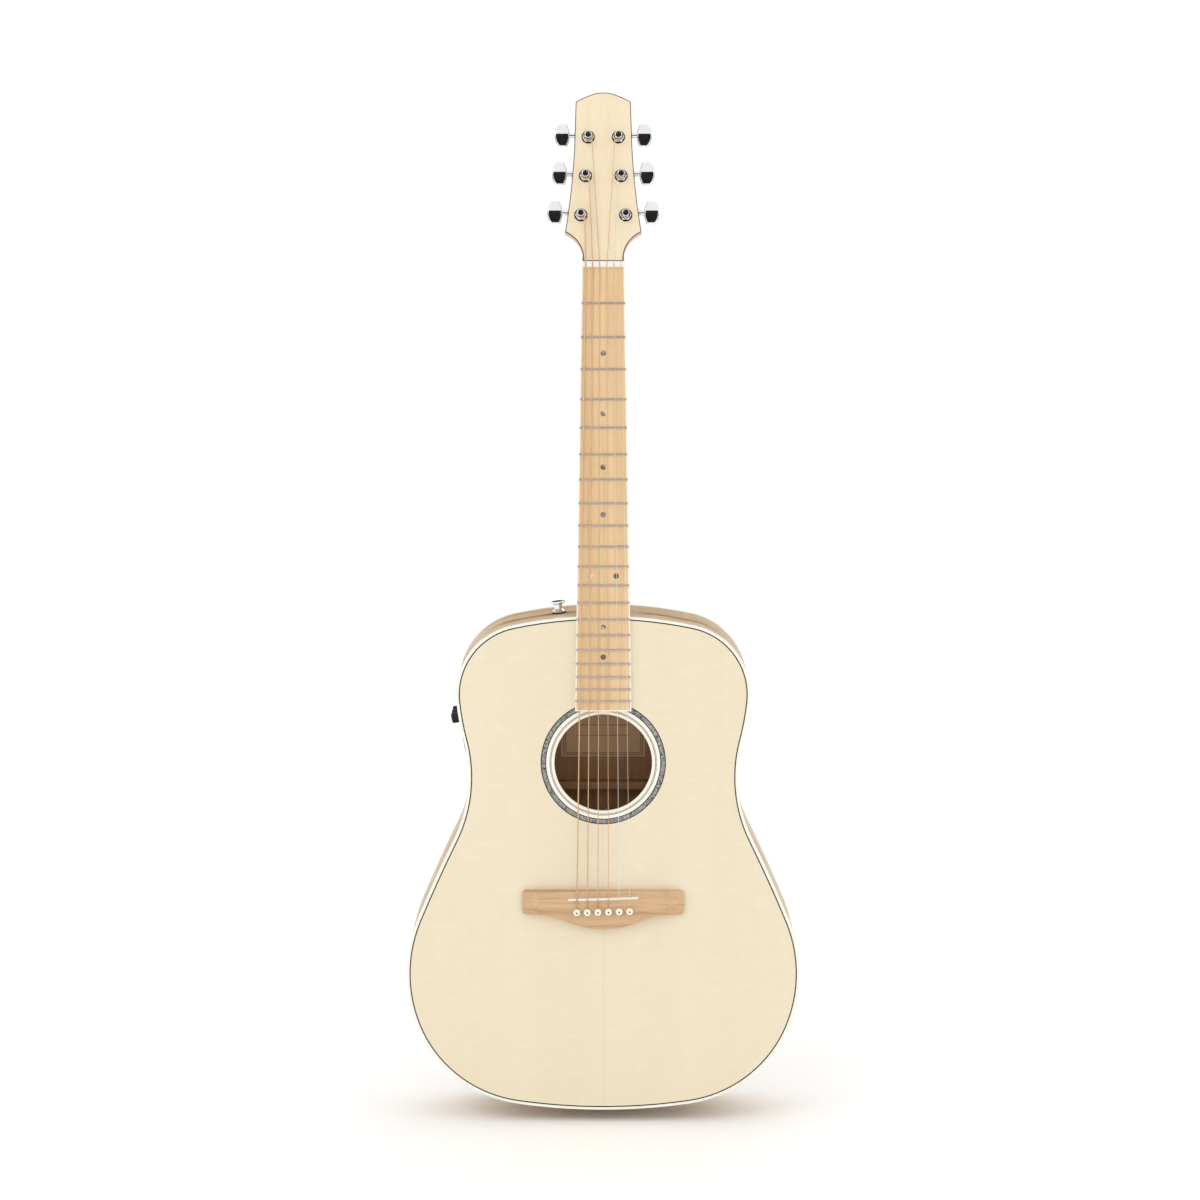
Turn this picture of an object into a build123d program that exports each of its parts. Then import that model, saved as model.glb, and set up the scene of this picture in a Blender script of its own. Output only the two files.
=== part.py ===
from build123d import *
import os
from math import asin, atan2, cos, degrees, pi, radians, sin, sqrt

# Steel-string acoustic guitar with a side preamp, upright: +Z runs up the neck, the soundboard
# faces -Y and the bass side is at -X. The origin is at the centre of the nut's playing edge, on
# the crown of the fretboard, because every length on the instrument is measured from there.

# ---- driving dimensions, in mm ----------------------------------------------------------------
SCALE = 643.0               # nut to saddle
FRETS = 20
BODY_FRET = 14              # fret at which the neck meets the body
CROWN = 400.0               # radius of the fretboard's crown, of the frets and of the saddle

BOARD_THICK = 6.0           # fretboard thickness, so also the depth of the soundboard's face
BOARD_HALF_NUT = 21.5       # half width at the nut, binding included
BOARD_HALF_BODY = 27.2      # half width at the body joint
BOARD_END = -451.0
BOARD_EDGE = 1.3            # thickness of the fretboard's binding

BODY_TOP = -353.6           # where the outline crosses the centreline at the neck
OUTLINE = [                 # radius and turn in degrees of each arc, neck to tail; waist is negative
    (443.0, 12.0),
    (73.3, 83.7),
    (262.7, 8.8),
    (-150.5, 40.5),
    (1550.0, 3.4),
    (149.3, 44.3),
    (131.5, 59.9),
]
FACE = BOARD_THICK          # Y of the soundboard's outer face
TOP_THICK = 3.0
SIDE_THICK = 2.7
BACK_THICK = 3.0
BACK_RADIUS = 4500.0        # the back is a shallow spherical dome
BACK_AT_NECK = 100.0        # Y of the back at the neck end
BACK_AT_TAIL = 124.0        # Y of the back at the tail end
BINDING_DEEP = 6.0
PURFLING_WIDE = 1.3
PURFLING_DEEP = 1.5
LINING_WIDE = 6.0
LINING_DEEP = 15.0
BLOCK_GAP = 0.5             # clear space between linings or braces and their neighbours

HOLE_Z = -505.0             # soundhole
HOLE_RADIUS = 50.0
ROSETTE_DEEP = 1.5
RING_EDGES = [(50.0, 52.7), (53.3, 54.9), (54.9, 58.2), (58.2, 58.6), (63.6, 64.1)]
ABALONE = (58.6, 63.6)

HEAD_TILT = 14.0            # headstock leans back from the neck
HEAD_THICK = 15.0
HEAD_THROAT = 19.9          # half width of the headstock just above the nut
VENEER_THICK = 2.0
HEAD_LINE = 0.8             # dark line round the headstock's face
NUT_THICK = 6.0
BUSHING_RADIUS = 4.9

TENON_HALF = 10.0
TENON_LONG = 20.0
TENON_FRONT = 12.0
TENON_BACK = 80.0
BLOCK_HALF = 30.0
BLOCK_LONG = 40.0
TAIL_HALF = 35.0
TAIL_LONG = 18.0

BRIDGE_THICK = 8.5
SADDLE_LONG = 72.0
SADDLE_THICK = 2.6
SADDLE_BASS_Z = -646.4
SADDLE_TREBLE_Z = -644.2
SADDLE_TOP = -5.0           # Y of the saddle's crest on the centreline
PIN_SPACING = 10.85
PIN_BASS_Z = -659.5
PIN_TREBLE_Z = -658.2
PIN_RADIUS = 2.55
PIN_HEAD = 3.75
FRET_HIGH = 1.1
FRET_WIDE = 2.3
TANG_DEEP = 1.8
TANG_WIDE = 0.58

NUT_SPREAD = 35.3           # first to sixth string at the nut
STRING_DIAMETERS = [1.35, 1.07, 0.81, 0.61, 0.41, 0.31]     # low to high
POST_PLACES = [(22.5, 53.0), (17.9, 93.2), (15.2, 132.9)]   # half spacing and distance up the face
POST_RADIUS = 3.0
WORM_RISE = 7.0             # worm axis above the post axis
WHEEL_TEETH = 14
WORM_MODULE = 0.7

PANEL_TOP_Z = -449.6        # preamp panel, where its ends meet the side
PANEL_FOOT_Z = -497.8
PANEL_Y = 60.0
PANEL_WIDE = 72.0
PANEL_PROUD = 1.8
KNOB_OFFSETS = {"bass_knob": -22.0, "treble_knob": 0.0, "volume_knob": 22.0}


BASE_MIN = (Align.CENTER, Align.CENTER, Align.MIN)      # a turned piece stands on its plane
BASE_MAX = (Align.CENTER, Align.CENTER, Align.MAX)      # or hangs from it


# ---- helpers ----------------------------------------------------------------------------------
def save(name, shape):
    os.makedirs("parts", exist_ok=True)
    export_step(group([shape]), "parts/" + name + ".step")


def group(solids):
    return Compound(children=[solid for piece in solids for solid in piece.solids()])


def box(low, high):
    """Block between two opposite corners."""
    size = [b - a for a, b in zip(low, high)]
    middle = [(a + b) / 2 for a, b in zip(low, high)]
    return Pos(*middle) * Box(*size)


def largest(shape):
    """The main solid of a cut shape, without the crumbs that a cut can leave."""
    return shape.solids().sort_by(SortBy.VOLUME)[-1]


def mirrored(edges):
    return [mirror(edge, Plane.YZ).edge() for edge in edges]


def rod(start, end, radius):
    """Round bar between two points."""
    run = Vector(*end) - Vector(*start)
    return Plane(origin=start, z_dir=run) * Cylinder(radius, run.length, align=BASE_MIN)


def front_ring(inner, outer, low, high):
    """Flat ring in the soundboard's plane, round the soundhole's centre."""
    disc = rod((0, low, HOLE_Z), (0, high, HOLE_Z), outer)
    return disc - rod((0, low - 1, HOLE_Z), (0, high + 1, HOLE_Z), inner)


# ---- body outline -----------------------------------------------------------------------------
def half_outline(offset):
    """Tangent arcs of the treble half, neck to tail, as (start, middle, end, centre, radius)."""
    def side(angle):
        return Vector(cos(angle - pi / 2), 0, sin(angle - pi / 2))

    point = Vector(0, 0, BODY_TOP + offset)
    heading = 0.0
    arcs = []
    turns = list(OUTLINE)
    closing = 180.0 - sum(turn if radius > 0 else -turn for radius, turn in turns)
    for radius, turn in turns + [(None, closing)]:
        if radius is None:
            signed = point.X / sin(radians(closing))
        else:
            signed = radius + offset
        direction = -1 if signed > 0 else 1
        centre = point + side(heading) * signed
        middle = centre - side(heading + direction * radians(turn) / 2) * signed
        heading += direction * radians(turn)
        end = centre - side(heading) * signed
        arcs.append((point, middle, end, centre, signed))
        point = end
    last = arcs[-1]
    arcs[-1] = (last[0], last[1], Vector(0, 0, last[2].Z), last[3], last[4])
    return arcs


def outline_half_width(z, offset=0.0):
    """Half width of the body at a height z below the shoulders."""
    for start, _, end, centre, radius in half_outline(offset)[1:]:
        if end.Z <= z <= start.Z:
            reach = sqrt(radius ** 2 - (z - centre.Z) ** 2)
            return centre.X + (reach if radius > 0 else -reach)
    raise ValueError("no outline at this height")


def body_slab(offset, low, high):
    """The body's outline, offset outwards, as a slab from depth low to depth high."""
    def flip(point):
        return Vector(-point.X, 0, point.Z)

    arcs = half_outline(offset)
    edges = [ThreePointArc(start, middle, end) for start, middle, end, _, _ in arcs]
    for start, middle, end, _, _ in reversed(arcs):
        edges.append(ThreePointArc(flip(end), flip(middle), flip(start)))
    face = Face(Wire(edges))
    return Pos(0, low, 0) * Solid.extrude(face, Vector(0, high - low, 0))


BODY_LENGTH = BODY_TOP - half_outline(0.0)[-1][2].Z
BODY_FOOT = BODY_TOP - BODY_LENGTH
DOME_Z = (BODY_TOP + BODY_FOOT) / 2 - (BACK_AT_TAIL - BACK_AT_NECK) * BACK_RADIUS / BODY_LENGTH
DOME_Y = BACK_AT_NECK + (BODY_TOP - DOME_Z) ** 2 / (2 * BACK_RADIUS) - BACK_RADIUS


def back_ball(depth):
    """Everything in front of the domed back, less a depth measured inwards from its outside."""
    return Pos(0, DOME_Y, DOME_Z) * Sphere(BACK_RADIUS - depth)


def back_depth(x, z, depth=0.0):
    """Y of the domed back, less a depth measured inwards."""
    return DOME_Y + sqrt((BACK_RADIUS - depth) ** 2 - x ** 2 - (z - DOME_Z) ** 2)


# ---- strings ----------------------------------------------------------------------------------
def along(low, high, index):
    return low + (high - low) * index / 5.0


def string_x(index, z):
    """Sideways place of a string: its run is straight from its pin to the nut."""
    at_nut = along(-NUT_SPREAD / 2, NUT_SPREAD / 2, index)
    at_pin = along(-2.5 * PIN_SPACING, 2.5 * PIN_SPACING, index)
    return at_nut + (at_pin - at_nut) * z / along(PIN_BASS_Z, PIN_TREBLE_Z, index)


def pin_place(index):
    z = along(PIN_BASS_Z, PIN_TREBLE_Z, index)
    return along(-2.5 * PIN_SPACING, 2.5 * PIN_SPACING, index), z


def head_point(x, rise, height):
    """Point over the headstock: rise up its face from the nut, height above the face."""
    lean = radians(HEAD_TILT)
    return Vector(x, rise * sin(lean) - height * cos(lean), rise * cos(lean) + height * sin(lean))


def post_place(index):
    """Sideways place and rise of the post that a string winds on, low string first."""
    half, rise = POST_PLACES[index] if index < 3 else POST_PLACES[5 - index]
    return (-half if index < 3 else half), rise


WIND_HEIGHT = 5.6           # height of the string's turns above the headstock's face


def string_route(index):
    """Points of a string: ball end, bridge top, saddle crest, nut slot, post."""
    radius = STRING_DIAMETERS[index] / 2
    pin_x, pin_z = pin_place(index)
    hole_z = pin_z + PIN_RADIUS + 0.35
    saddle_z = along(SADDLE_BASS_Z, SADDLE_TREBLE_Z, index)
    saddle_x = string_x(index, saddle_z)
    crest = SADDLE_TOP + saddle_x ** 2 / (2 * CROWN) - radius - 0.12
    nut_x = string_x(index, 0.0)
    slot = -(FRET_HIGH + 0.35) + nut_x ** 2 / (2 * CROWN) - radius
    post_x, rise = post_place(index)
    toward = 1 if post_x < 0 else -1
    beside = post_x + toward * (POST_RADIUS + radius + 0.1)
    return [
        Vector(pin_x, FACE + TOP_THICK + 4.6, hole_z),
        Vector(pin_x, FACE - BRIDGE_THICK + 0.6, hole_z),
        Vector(saddle_x, crest, saddle_z),
        Vector(nut_x, slot, 1.6),
        head_point(beside, rise, WIND_HEIGHT),
    ]


STRING_BENDS = [2.6, 4.0, 12.0]     # radii at the bridge, the saddle and the nut


def string_tube(index, extra=0.0, tail=0.0):
    """One string from its ball end to its post, grown sideways by extra, with a longer tail."""
    route = string_route(index)
    route[0] = route[0] + Vector(0, tail, 0)
    path = FilletPolyline(*route, radius=STRING_BENDS)
    start = Plane(origin=route[0], z_dir=route[1] - route[0])
    return sweep(start * Circle(STRING_DIAMETERS[index] / 2 + extra), path=path)


def ball_end(index, extra=0.0):
    base = string_route(index)[0]
    reach = 2.0 + extra
    return rod((base.X - reach, base.Y, base.Z), (base.X + reach, base.Y, base.Z), 1.9 + extra)


def strings(indices):
    return group([string_tube(index) + ball_end(index) for index in indices])


# ---- fretboard --------------------------------------------------------------------------------
def slot_z(number):
    """Place of a fret's slot: each fret shortens the string by a twelfth root of two."""
    return -SCALE * (1.0 - 2.0 ** (-number / 12.0))


def board_half(z):
    return BOARD_HALF_NUT + (BOARD_HALF_BODY - BOARD_HALF_NUT) * z / slot_z(BODY_FRET)


def crown_ball(height=0.0):
    """Everything under the fretboard's crown, raised by a height."""
    return Pos(0, CROWN, -300) * Cylinder(CROWN + height, 800)


def board_plan(inset, end):
    """Tapered board from the nut to its end, full height, before it is crowned."""
    nut = board_half(0) - inset
    foot = board_half(end) - inset
    corners = [(-nut, 0, 0), (nut, 0, 0), (foot, 0, end), (-foot, 0, end)]
    face = Face(Wire(Polyline(*corners, close=True)))
    return Pos(0, -2, 0) * Solid.extrude(face, Vector(0, BOARD_THICK + 2, 0))


def fret_arc(number, half, low, high, width):
    """Bar that follows the crown, from low to high above it, centred on a fret's line."""
    z = slot_z(number)
    ring = rod((0, CROWN, z - width / 2), (0, CROWN, z + width / 2), CROWN + high)
    ring = ring - rod((0, CROWN, z - width), (0, CROWN, z + width), CROWN + low)
    return ring & box((-half, -4, z - width), (half, 8, z + width))


def fret(number):
    """Rounded bead on a tang; the bead reaches over the binding and the tang stops at it."""
    half = board_half(slot_z(number))
    bead = fret_arc(number, half - 0.15, 0.0, FRET_HIGH, FRET_WIDE)
    arcs = bead.edges().filter_by(GeomType.CIRCLE)
    crest = [arc for arc in arcs if abs(arc.radius - CROWN - FRET_HIGH) < 0.01]
    bead = fillet(crest, 0.75)
    tang = fret_arc(number, half - BOARD_EDGE - 0.03, -TANG_DEEP, 0.01, TANG_WIDE)
    return bead + tang


def frets():
    return group([fret(number) for number in range(1, FRETS + 1)])


MARKED = [3, 5, 7, 9, 12, 15, 17]


def marker_z(number):
    return (slot_z(number) + slot_z(number - 1)) / 2


def front_dots(radius=2.9, deep=1.5):
    places = []
    for number in MARKED:
        places += [(-13.0, number), (13.0, number)] if number == 12 else [(0.0, number)]
    dots = []
    for x, number in places:
        z = marker_z(number)
        dots.append(rod((x, -1, z), (x, deep, z), radius) & crown_ball())
    return dots


def side_dots(radius=1.0, deep=0.9):
    dots = []
    for number in MARKED:
        z = marker_z(number)
        half = board_half(z)
        for shift in ([-3.5, 3.5] if number == 12 else [0.0]):
            dots.append(rod((-half + 0.05, 3.4, z + shift), (-half + deep, 3.4, z + shift), radius))
    return dots


def fretboard():
    board = board_plan(BOARD_EDGE, BOARD_END + BOARD_EDGE) & crown_ball()
    slots = []
    for number in range(1, FRETS + 1):
        half = board_half(slot_z(number)) - BOARD_EDGE
        slots.append(fret_arc(number, half, -TANG_DEEP, 0.5, TANG_WIDE))
    return board - slots - front_dots()


def fretboard_binding():
    outer = board_plan(0.0, BOARD_END) & crown_ball()
    inner = board_plan(BOARD_EDGE, BOARD_END + BOARD_EDGE)
    return outer - inner - side_dots()


# ---- nut, headstock and neck ------------------------------------------------------------------
HEAD_NORMAL = (0, -cos(radians(HEAD_TILT)), sin(radians(HEAD_TILT)))
HEAD = Plane(origin=(0, 0, 0), x_dir=(1, 0, 0), z_dir=HEAD_NORMAL)

NUT_SLOT_ROOM = 0.08        # clear space round a string in its slot
NUT_SLOT_HIGH = 8.0


def nut():
    profile = [
        (0, BOARD_THICK, 0),
        (0, -2.1, 0),
        (0, -2.5, 0.6),
        (0, -2.4, 2.4),
        (0, -0.6, NUT_THICK),
        (0, BOARD_THICK, NUT_THICK),
    ]
    face = Face(Wire(Polyline(*profile, close=True)))
    block = Pos(-BOARD_HALF_NUT, 0, 0) * Solid.extrude(face, Vector(2 * BOARD_HALF_NUT, 0, 0))
    for index in range(6):
        room = STRING_DIAMETERS[index] / 2 + NUT_SLOT_ROOM
        _, _, saddle_end, slot, post_end = string_route(index)
        for far, front in ((saddle_end, 1), (post_end, -1)):
            frame = Plane(origin=slot, x_dir=(1, 0, 0), z_dir=far - slot)
            cut = Pos(0, front * (NUT_SLOT_HIGH / 2 - room), 4.5) * Box(2 * room, NUT_SLOT_HIGH, 9.4)
            block = block - frame * cut
    return block


def head_outline():
    """Face of the headstock in its own plane: sideways and up the face."""
    right = [
        Line((HEAD_THROAT, 0.0), (HEAD_THROAT, 8.0)),
        ThreePointArc((HEAD_THROAT, 8.0), (24.7, 24.4), (38.3, 35.8)),
        ThreePointArc((38.3, 35.8), (32.6, 78.0), (29.0, 126.0)),
        Line((29.0, 126.0), (27.7, 169.3)),
        ThreePointArc((27.7, 169.3), (18.6, 174.1), (9.0, 177.8)),
        ThreePointArc((9.0, 177.8), (0.0, 178.9), (-9.0, 177.8)),
    ]
    foot = Line((-HEAD_THROAT, 0.0), (HEAD_THROAT, 0.0))
    return Face(Wire(right + mirrored(right[:5]) + [foot]))


def head_slab(face, low, high):
    """Slab of the headstock between two heights over its face."""
    return HEAD * (Pos(0, 0, low) * extrude(face, amount=high - low, dir=(0, 0, 1)))


def above_nut(gap=0.0):
    return box((-60, -60, NUT_THICK + gap), (60, 80, 220))


def bushing_holes(radius):
    holes = []
    for index in range(6):
        x, rise = post_place(index)
        holes.append(HEAD * (Pos(x, rise, 0) * Cylinder(radius, 60)))
    return holes


def inset_face():
    """Face of the headstock inside its dark edge line."""
    return offset(head_outline(), amount=-HEAD_LINE, kind=Kind.INTERSECTION).face()


def headstock_veneer():
    slab = head_slab(inset_face(), -VENEER_THICK, 0) & above_nut(HEAD_LINE)
    return slab - bushing_holes(BUSHING_RADIUS)


def headstock_binding():
    outer = head_slab(head_outline(), -VENEER_THICK, 0) & above_nut()
    inner = head_slab(inset_face(), -VENEER_THICK - 1, 1)
    return outer - (inner & above_nut(HEAD_LINE))


def shaft_section(z, half, deep, front):
    """Neck section: a half ellipse behind the fretboard's plane, with a flat front."""
    back = EllipticalCenterArc((0, 0), half, deep, start_angle=180, arc_size=180)
    if front:
        rim = Polyline((half, 0), (half, front), (-half, front), (-half, 0))
    else:
        rim = Line((half, 0), (-half, 0))
    flat = Face(Wire(back.edges() + rim.edges()))
    frame = Plane(origin=(0, BOARD_THICK, z), x_dir=(1, 0, 0), z_dir=(0, 0, -1))
    return frame * flat


def heel_section(y, half, reach):
    """Heel section at a depth y: a half ellipse that stands out from the body's end."""
    base = BODY_TOP - 6.0
    back = EllipticalCenterArc((0, 0), half, reach, start_angle=0, arc_size=180)
    flat = Face(Wire([back, Line((-half, 0), (half, 0))]))
    frame = Plane(origin=(0, y, base), x_dir=(1, 0, 0), z_dir=(0, -1, 0))
    return frame * flat


HEEL_CAP_THICK = 2.5
NECK_DEEP_NUT = 14.6
NECK_DEEP_HEEL = 17.2
HEEL_SHAPE = [              # depth, half width and reach of the heel's sections
    (14.0, 24.5, 92.0),
    (24.0, 24.3, 62.0),
    (38.0, 21.8, 43.0),
    (58.0, 18.0, 33.0),
    (80.0, 15.0, 28.5),
    (BACK_AT_NECK, 13.6, 26.5),
]


def neck_blank():
    shaft = loft([
        shaft_section(0, BOARD_HALF_NUT, NECK_DEEP_NUT, 0),
        shaft_section(BODY_TOP - 4, board_half(BODY_TOP - 4), NECK_DEEP_HEEL, 0),
    ], ruled=True)
    throat = loft([
        shaft_section(30, 19.6, 13.6, 9),
        shaft_section(0, BOARD_HALF_NUT, NECK_DEEP_NUT, 9),
    ], ruled=True)
    behind_nut = box((-60, -20, 0), (60, BOARD_THICK, NUT_THICK))
    face_front = HEAD * (Pos(0, 0, 50 - VENEER_THICK) * Box(200, 500, 100))
    throat = throat - behind_nut - face_front
    head = head_slab(head_outline(), -HEAD_THICK, -VENEER_THICK) & above_nut()
    return shaft, throat, head


def heel_blank():
    return loft([heel_section(*row) for row in HEEL_SHAPE])


def neck():
    shaft, throat, head = neck_blank()
    heel = heel_blank() & box((-60, 0, -400), (60, BACK_AT_NECK - HEEL_CAP_THICK, 0))
    wood = shaft + throat + head + heel
    wood = wood - body_slab(0.0, FACE, 160)
    tenon = box((-TENON_HALF, TENON_FRONT, BODY_TOP - TENON_LONG), (TENON_HALF, TENON_BACK, BODY_TOP + 2))
    wood = wood + tenon
    wood = wood - rod_channel() - bushing_holes(BUSHING_RADIUS)
    return wood - [HEAD * hole for hole in tuner_screw_holes()]


ROD_HALF = 3.0
ROD_BACK = BOARD_THICK + 10.2
ROD_TOP = -14.0
ROD_HEEL = BODY_TOP + 4.0
ROD_AXIS_Y = BOARD_THICK + 7.4
SOCKET_Y = TENON_FRONT + 4.2
ROD_NUT_Z = BODY_TOP - TENON_LONG + 1.0
SOCKET_RADIUS = 3.6
KEY_RADIUS = 3.8            # round way for the rod's socket and its key


def rod_channel():
    """Slot for the truss rod under the fretboard, and the round way to its nut in the tenon."""
    slot = box((-ROD_HALF, BOARD_THICK - 1, ROD_HEEL), (ROD_HALF, ROD_BACK, ROD_TOP))
    way = rod((0, SOCKET_Y, ROD_HEEL + 1), (0, SOCKET_Y, BODY_TOP - TENON_LONG - 1), KEY_RADIUS)
    return slot + way


def truss_rod():
    """Two-way rod: a flat bar over a round one, welded at the ends, with a socket nut at the heel."""
    flat = box((-ROD_HALF, BOARD_THICK, ROD_HEEL), (ROD_HALF, BOARD_THICK + 3.2, ROD_TOP))
    round_bar = rod((0, ROD_AXIS_Y, ROD_HEEL + 2), (0, ROD_AXIS_Y, ROD_TOP - 2), 2.5)
    block = box((-ROD_HALF, BOARD_THICK, ROD_TOP - 9), (ROD_HALF, ROD_BACK, ROD_TOP))
    block = block + box((-ROD_HALF, BOARD_THICK, ROD_HEEL), (ROD_HALF, ROD_BACK, ROD_HEEL + 9))
    socket = rod((0, SOCKET_Y, ROD_NUT_Z), (0, SOCKET_Y, ROD_HEEL + 0.5), SOCKET_RADIUS)
    hexagon = Pos(0, SOCKET_Y, ROD_NUT_Z) * extrude(RegularPolygon(2.5, 6), amount=8)
    return (flat + round_bar + block + socket) - hexagon


def heel_cap():
    slab = box((-60, BACK_AT_NECK - HEEL_CAP_THICK, -400), (60, BACK_AT_NECK, 0))
    return (heel_blank() & slab) - body_slab(0.0, FACE, 160)


# ---- body shell -------------------------------------------------------------------------------
def soundboard():
    plate = body_slab(-SIDE_THICK, FACE, FACE + TOP_THICK)
    groove = body_slab(-SIDE_THICK, FACE, FACE + PURFLING_DEEP)
    groove = groove - body_slab(-SIDE_THICK - PURFLING_WIDE, FACE, FACE + PURFLING_DEEP)
    plate = plate - groove - rod((0, FACE - 1, HOLE_Z), (0, FACE + TOP_THICK + 1, HOLE_Z), HOLE_RADIUS)
    plate = plate - [front_ring(a, b, FACE - 1, FACE + ROSETTE_DEEP) for a, b in RING_EDGES + [ABALONE]]
    return plate - string_ways()


def top_purfling():
    outer = body_slab(-SIDE_THICK, FACE, FACE + PURFLING_DEEP)
    return outer - body_slab(-SIDE_THICK - PURFLING_WIDE, FACE - 1, FACE + PURFLING_DEEP + 1)


def hoop(inner, outer, low, high):
    """Band that follows the outline between two offsets."""
    return body_slab(outer, low, high) - body_slab(inner, low - 1, high + 1)


def top_binding():
    return hoop(-SIDE_THICK, 0.0, FACE, FACE + BINDING_DEEP)


def back_binding():
    return (hoop(-SIDE_THICK, 0.0, 60, 160) & back_ball(0)) - back_ball(BINDING_DEEP)


def back_plate():
    return (body_slab(-SIDE_THICK, 60, 160) & back_ball(0)) - back_ball(BACK_THICK)


def side(sign):
    band = hoop(-SIDE_THICK, 0.0, FACE + BINDING_DEEP, 160) & back_ball(BINDING_DEEP)
    low = (0, -50, -1000) if sign > 0 else (-300, -50, -1000)
    high = (300, 200, -300) if sign > 0 else (0, 200, -300)
    band = band & box(low, high)
    tenon = box((-TENON_HALF, TENON_FRONT, BODY_TOP - TENON_LONG), (TENON_HALF, TENON_BACK, BODY_TOP + 5))
    band = band - tenon - rod((0, JACK_Y, BODY_FOOT - 5), (0, JACK_Y, BODY_FOOT + 20), JACK_RADIUS)
    if sign < 0:
        band = band - panel_block(PLUG_WIDE + 0.2, PLUG_TALL + 0.2, -40, 40)
        band = band - strap_frame() * (Pos(0, 0, -10) * Cylinder(1.6, 30))
    return band


def linings():
    front = hoop(-SIDE_THICK - LINING_WIDE, -SIDE_THICK, FACE + TOP_THICK, FACE + TOP_THICK + LINING_DEEP)
    rear = hoop(-SIDE_THICK - LINING_WIDE, -SIDE_THICK, 60, 160) & back_ball(BACK_THICK)
    rear = rear - back_ball(BACK_THICK + LINING_DEEP)
    neck_half = BLOCK_HALF + BLOCK_GAP
    tail_half = TAIL_HALF + BLOCK_GAP
    blocks = box((-neck_half, -10, BODY_TOP - 60), (neck_half, 200, BODY_TOP + 5))
    blocks = blocks + box((-tail_half, -10, BODY_FOOT - 5), (tail_half, 200, BODY_FOOT + 60))
    preamp = panel_block(68.0, 48.0, -70, 20)
    return group([front - blocks - preamp, rear - blocks - preamp])


def block_between(half, low, high):
    block = body_slab(-SIDE_THICK, FACE + TOP_THICK, 160) & back_ball(BACK_THICK)
    return block & box((-half, -10, low), (half, 200, high))


def neck_block():
    block = block_between(BLOCK_HALF, BODY_TOP - BLOCK_LONG, BODY_TOP)
    tenon = box((-TENON_HALF, TENON_FRONT, BODY_TOP - TENON_LONG), (TENON_HALF, TENON_BACK, BODY_TOP))
    key_way = rod((0, SOCKET_Y, BODY_TOP - BLOCK_LONG - 1), (0, SOCKET_Y, BODY_TOP), KEY_RADIUS)
    return block - tenon - key_way


def tail_block():
    block = block_between(TAIL_HALF, BODY_FOOT, BODY_FOOT + SIDE_THICK + TAIL_LONG)
    return block - rod((0, JACK_Y, BODY_FOOT - 5), (0, JACK_Y, BODY_FOOT + 40), JACK_RADIUS)


# ---- braces -----------------------------------------------------------------------------------
def bar(start, end, width, high, base, taper=45.0):
    """Brace on the soundboard's inner face, with both ends shaved down to a feather."""
    a = Vector(start[0], base, start[1])
    b = Vector(end[0], base, end[1])
    run = b - a
    length = run.length
    profile = [(0, 0), (length, 0), (length, 2.5), (length - taper, high), (taper, high), (0, 2.5)]
    side_view = Plane(origin=a, x_dir=run, z_dir=run.cross(Vector(0, 1, 0)))
    face = side_view * make_face(Polyline(*profile, close=True)).face()
    across = run.cross(Vector(0, 1, 0)).normalized() * width
    return Solid.extrude(Pos(*(across * -0.5)) * face, across)


X_CROSS_Z = -584.0          # where the two long bars cross, just below the soundhole
BRACE_HIGH = 13.0


def brace_zone():
    return body_slab(-SIDE_THICK - LINING_WIDE - BLOCK_GAP, FACE, 200)


def top_braces():
    base = FACE + TOP_THICK
    first = bar((-122, X_CROSS_Z + 122), (180, X_CROSS_Z - 180), 8, BRACE_HIGH, base)
    second = bar((122, X_CROSS_Z + 122), (-180, X_CROSS_Z - 180), 8, BRACE_HIGH, base)
    lap = box((-14, base - 1, X_CROSS_Z - 20), (14, base + BRACE_HIGH / 2, X_CROSS_Z + 20))
    upper = first & second & lap
    lower = (first & second) - lap
    first = first - upper
    second = second - lower
    bars = [
        first,
        second,
        bar((-110, -425), (110, -425), 16, 12, base, 35),
        bar((-16, -686), (78, -806), 6, 9, base, 30),
        bar((-54, -692), (34, -830), 6, 9, base, 30),
        bar((-58, -452), (-58, -498), 7, 5, base, 12),
        bar((58, -452), (58, -498), 7, 5, base, 12),
    ]
    for sign in (-1, 1):
        bars.append(bar((sign * 62, -600), (sign * 170, -655), 6, 8, base, 25))
        bars.append(bar((sign * 92, -665), (sign * 175, -715), 6, 8, base, 25))
    return bars


def clear_bars():
    """Braces trimmed to the linings, the bridge plate and one another."""
    zone = brace_zone()
    plate = plate_block(0.6)
    key_way = rod((0, SOCKET_Y, -300), (0, SOCKET_Y, -500), KEY_RADIUS)
    done = []
    for made in top_braces():
        made = made & zone
        if len(done) > 1:
            made = made - done
        done.append(made - plate - key_way)
    return group(done)


def plate_block(grow):
    """Hardwood patch under the bridge, where the strings' ball ends bear."""
    base = FACE + TOP_THICK
    low, high = -676.0, -640.0
    return box((-44 - grow, base - grow, low - grow), (44 + grow, base + 2.6 + grow, high + grow))


def bridge_plate():
    return plate_block(0.0) - string_ways() - [pin_shank(index, 0.05) for index in range(6)]


BACK_BRACE_Z = [-415.0, -546.0, -665.0, -790.0]


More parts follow.
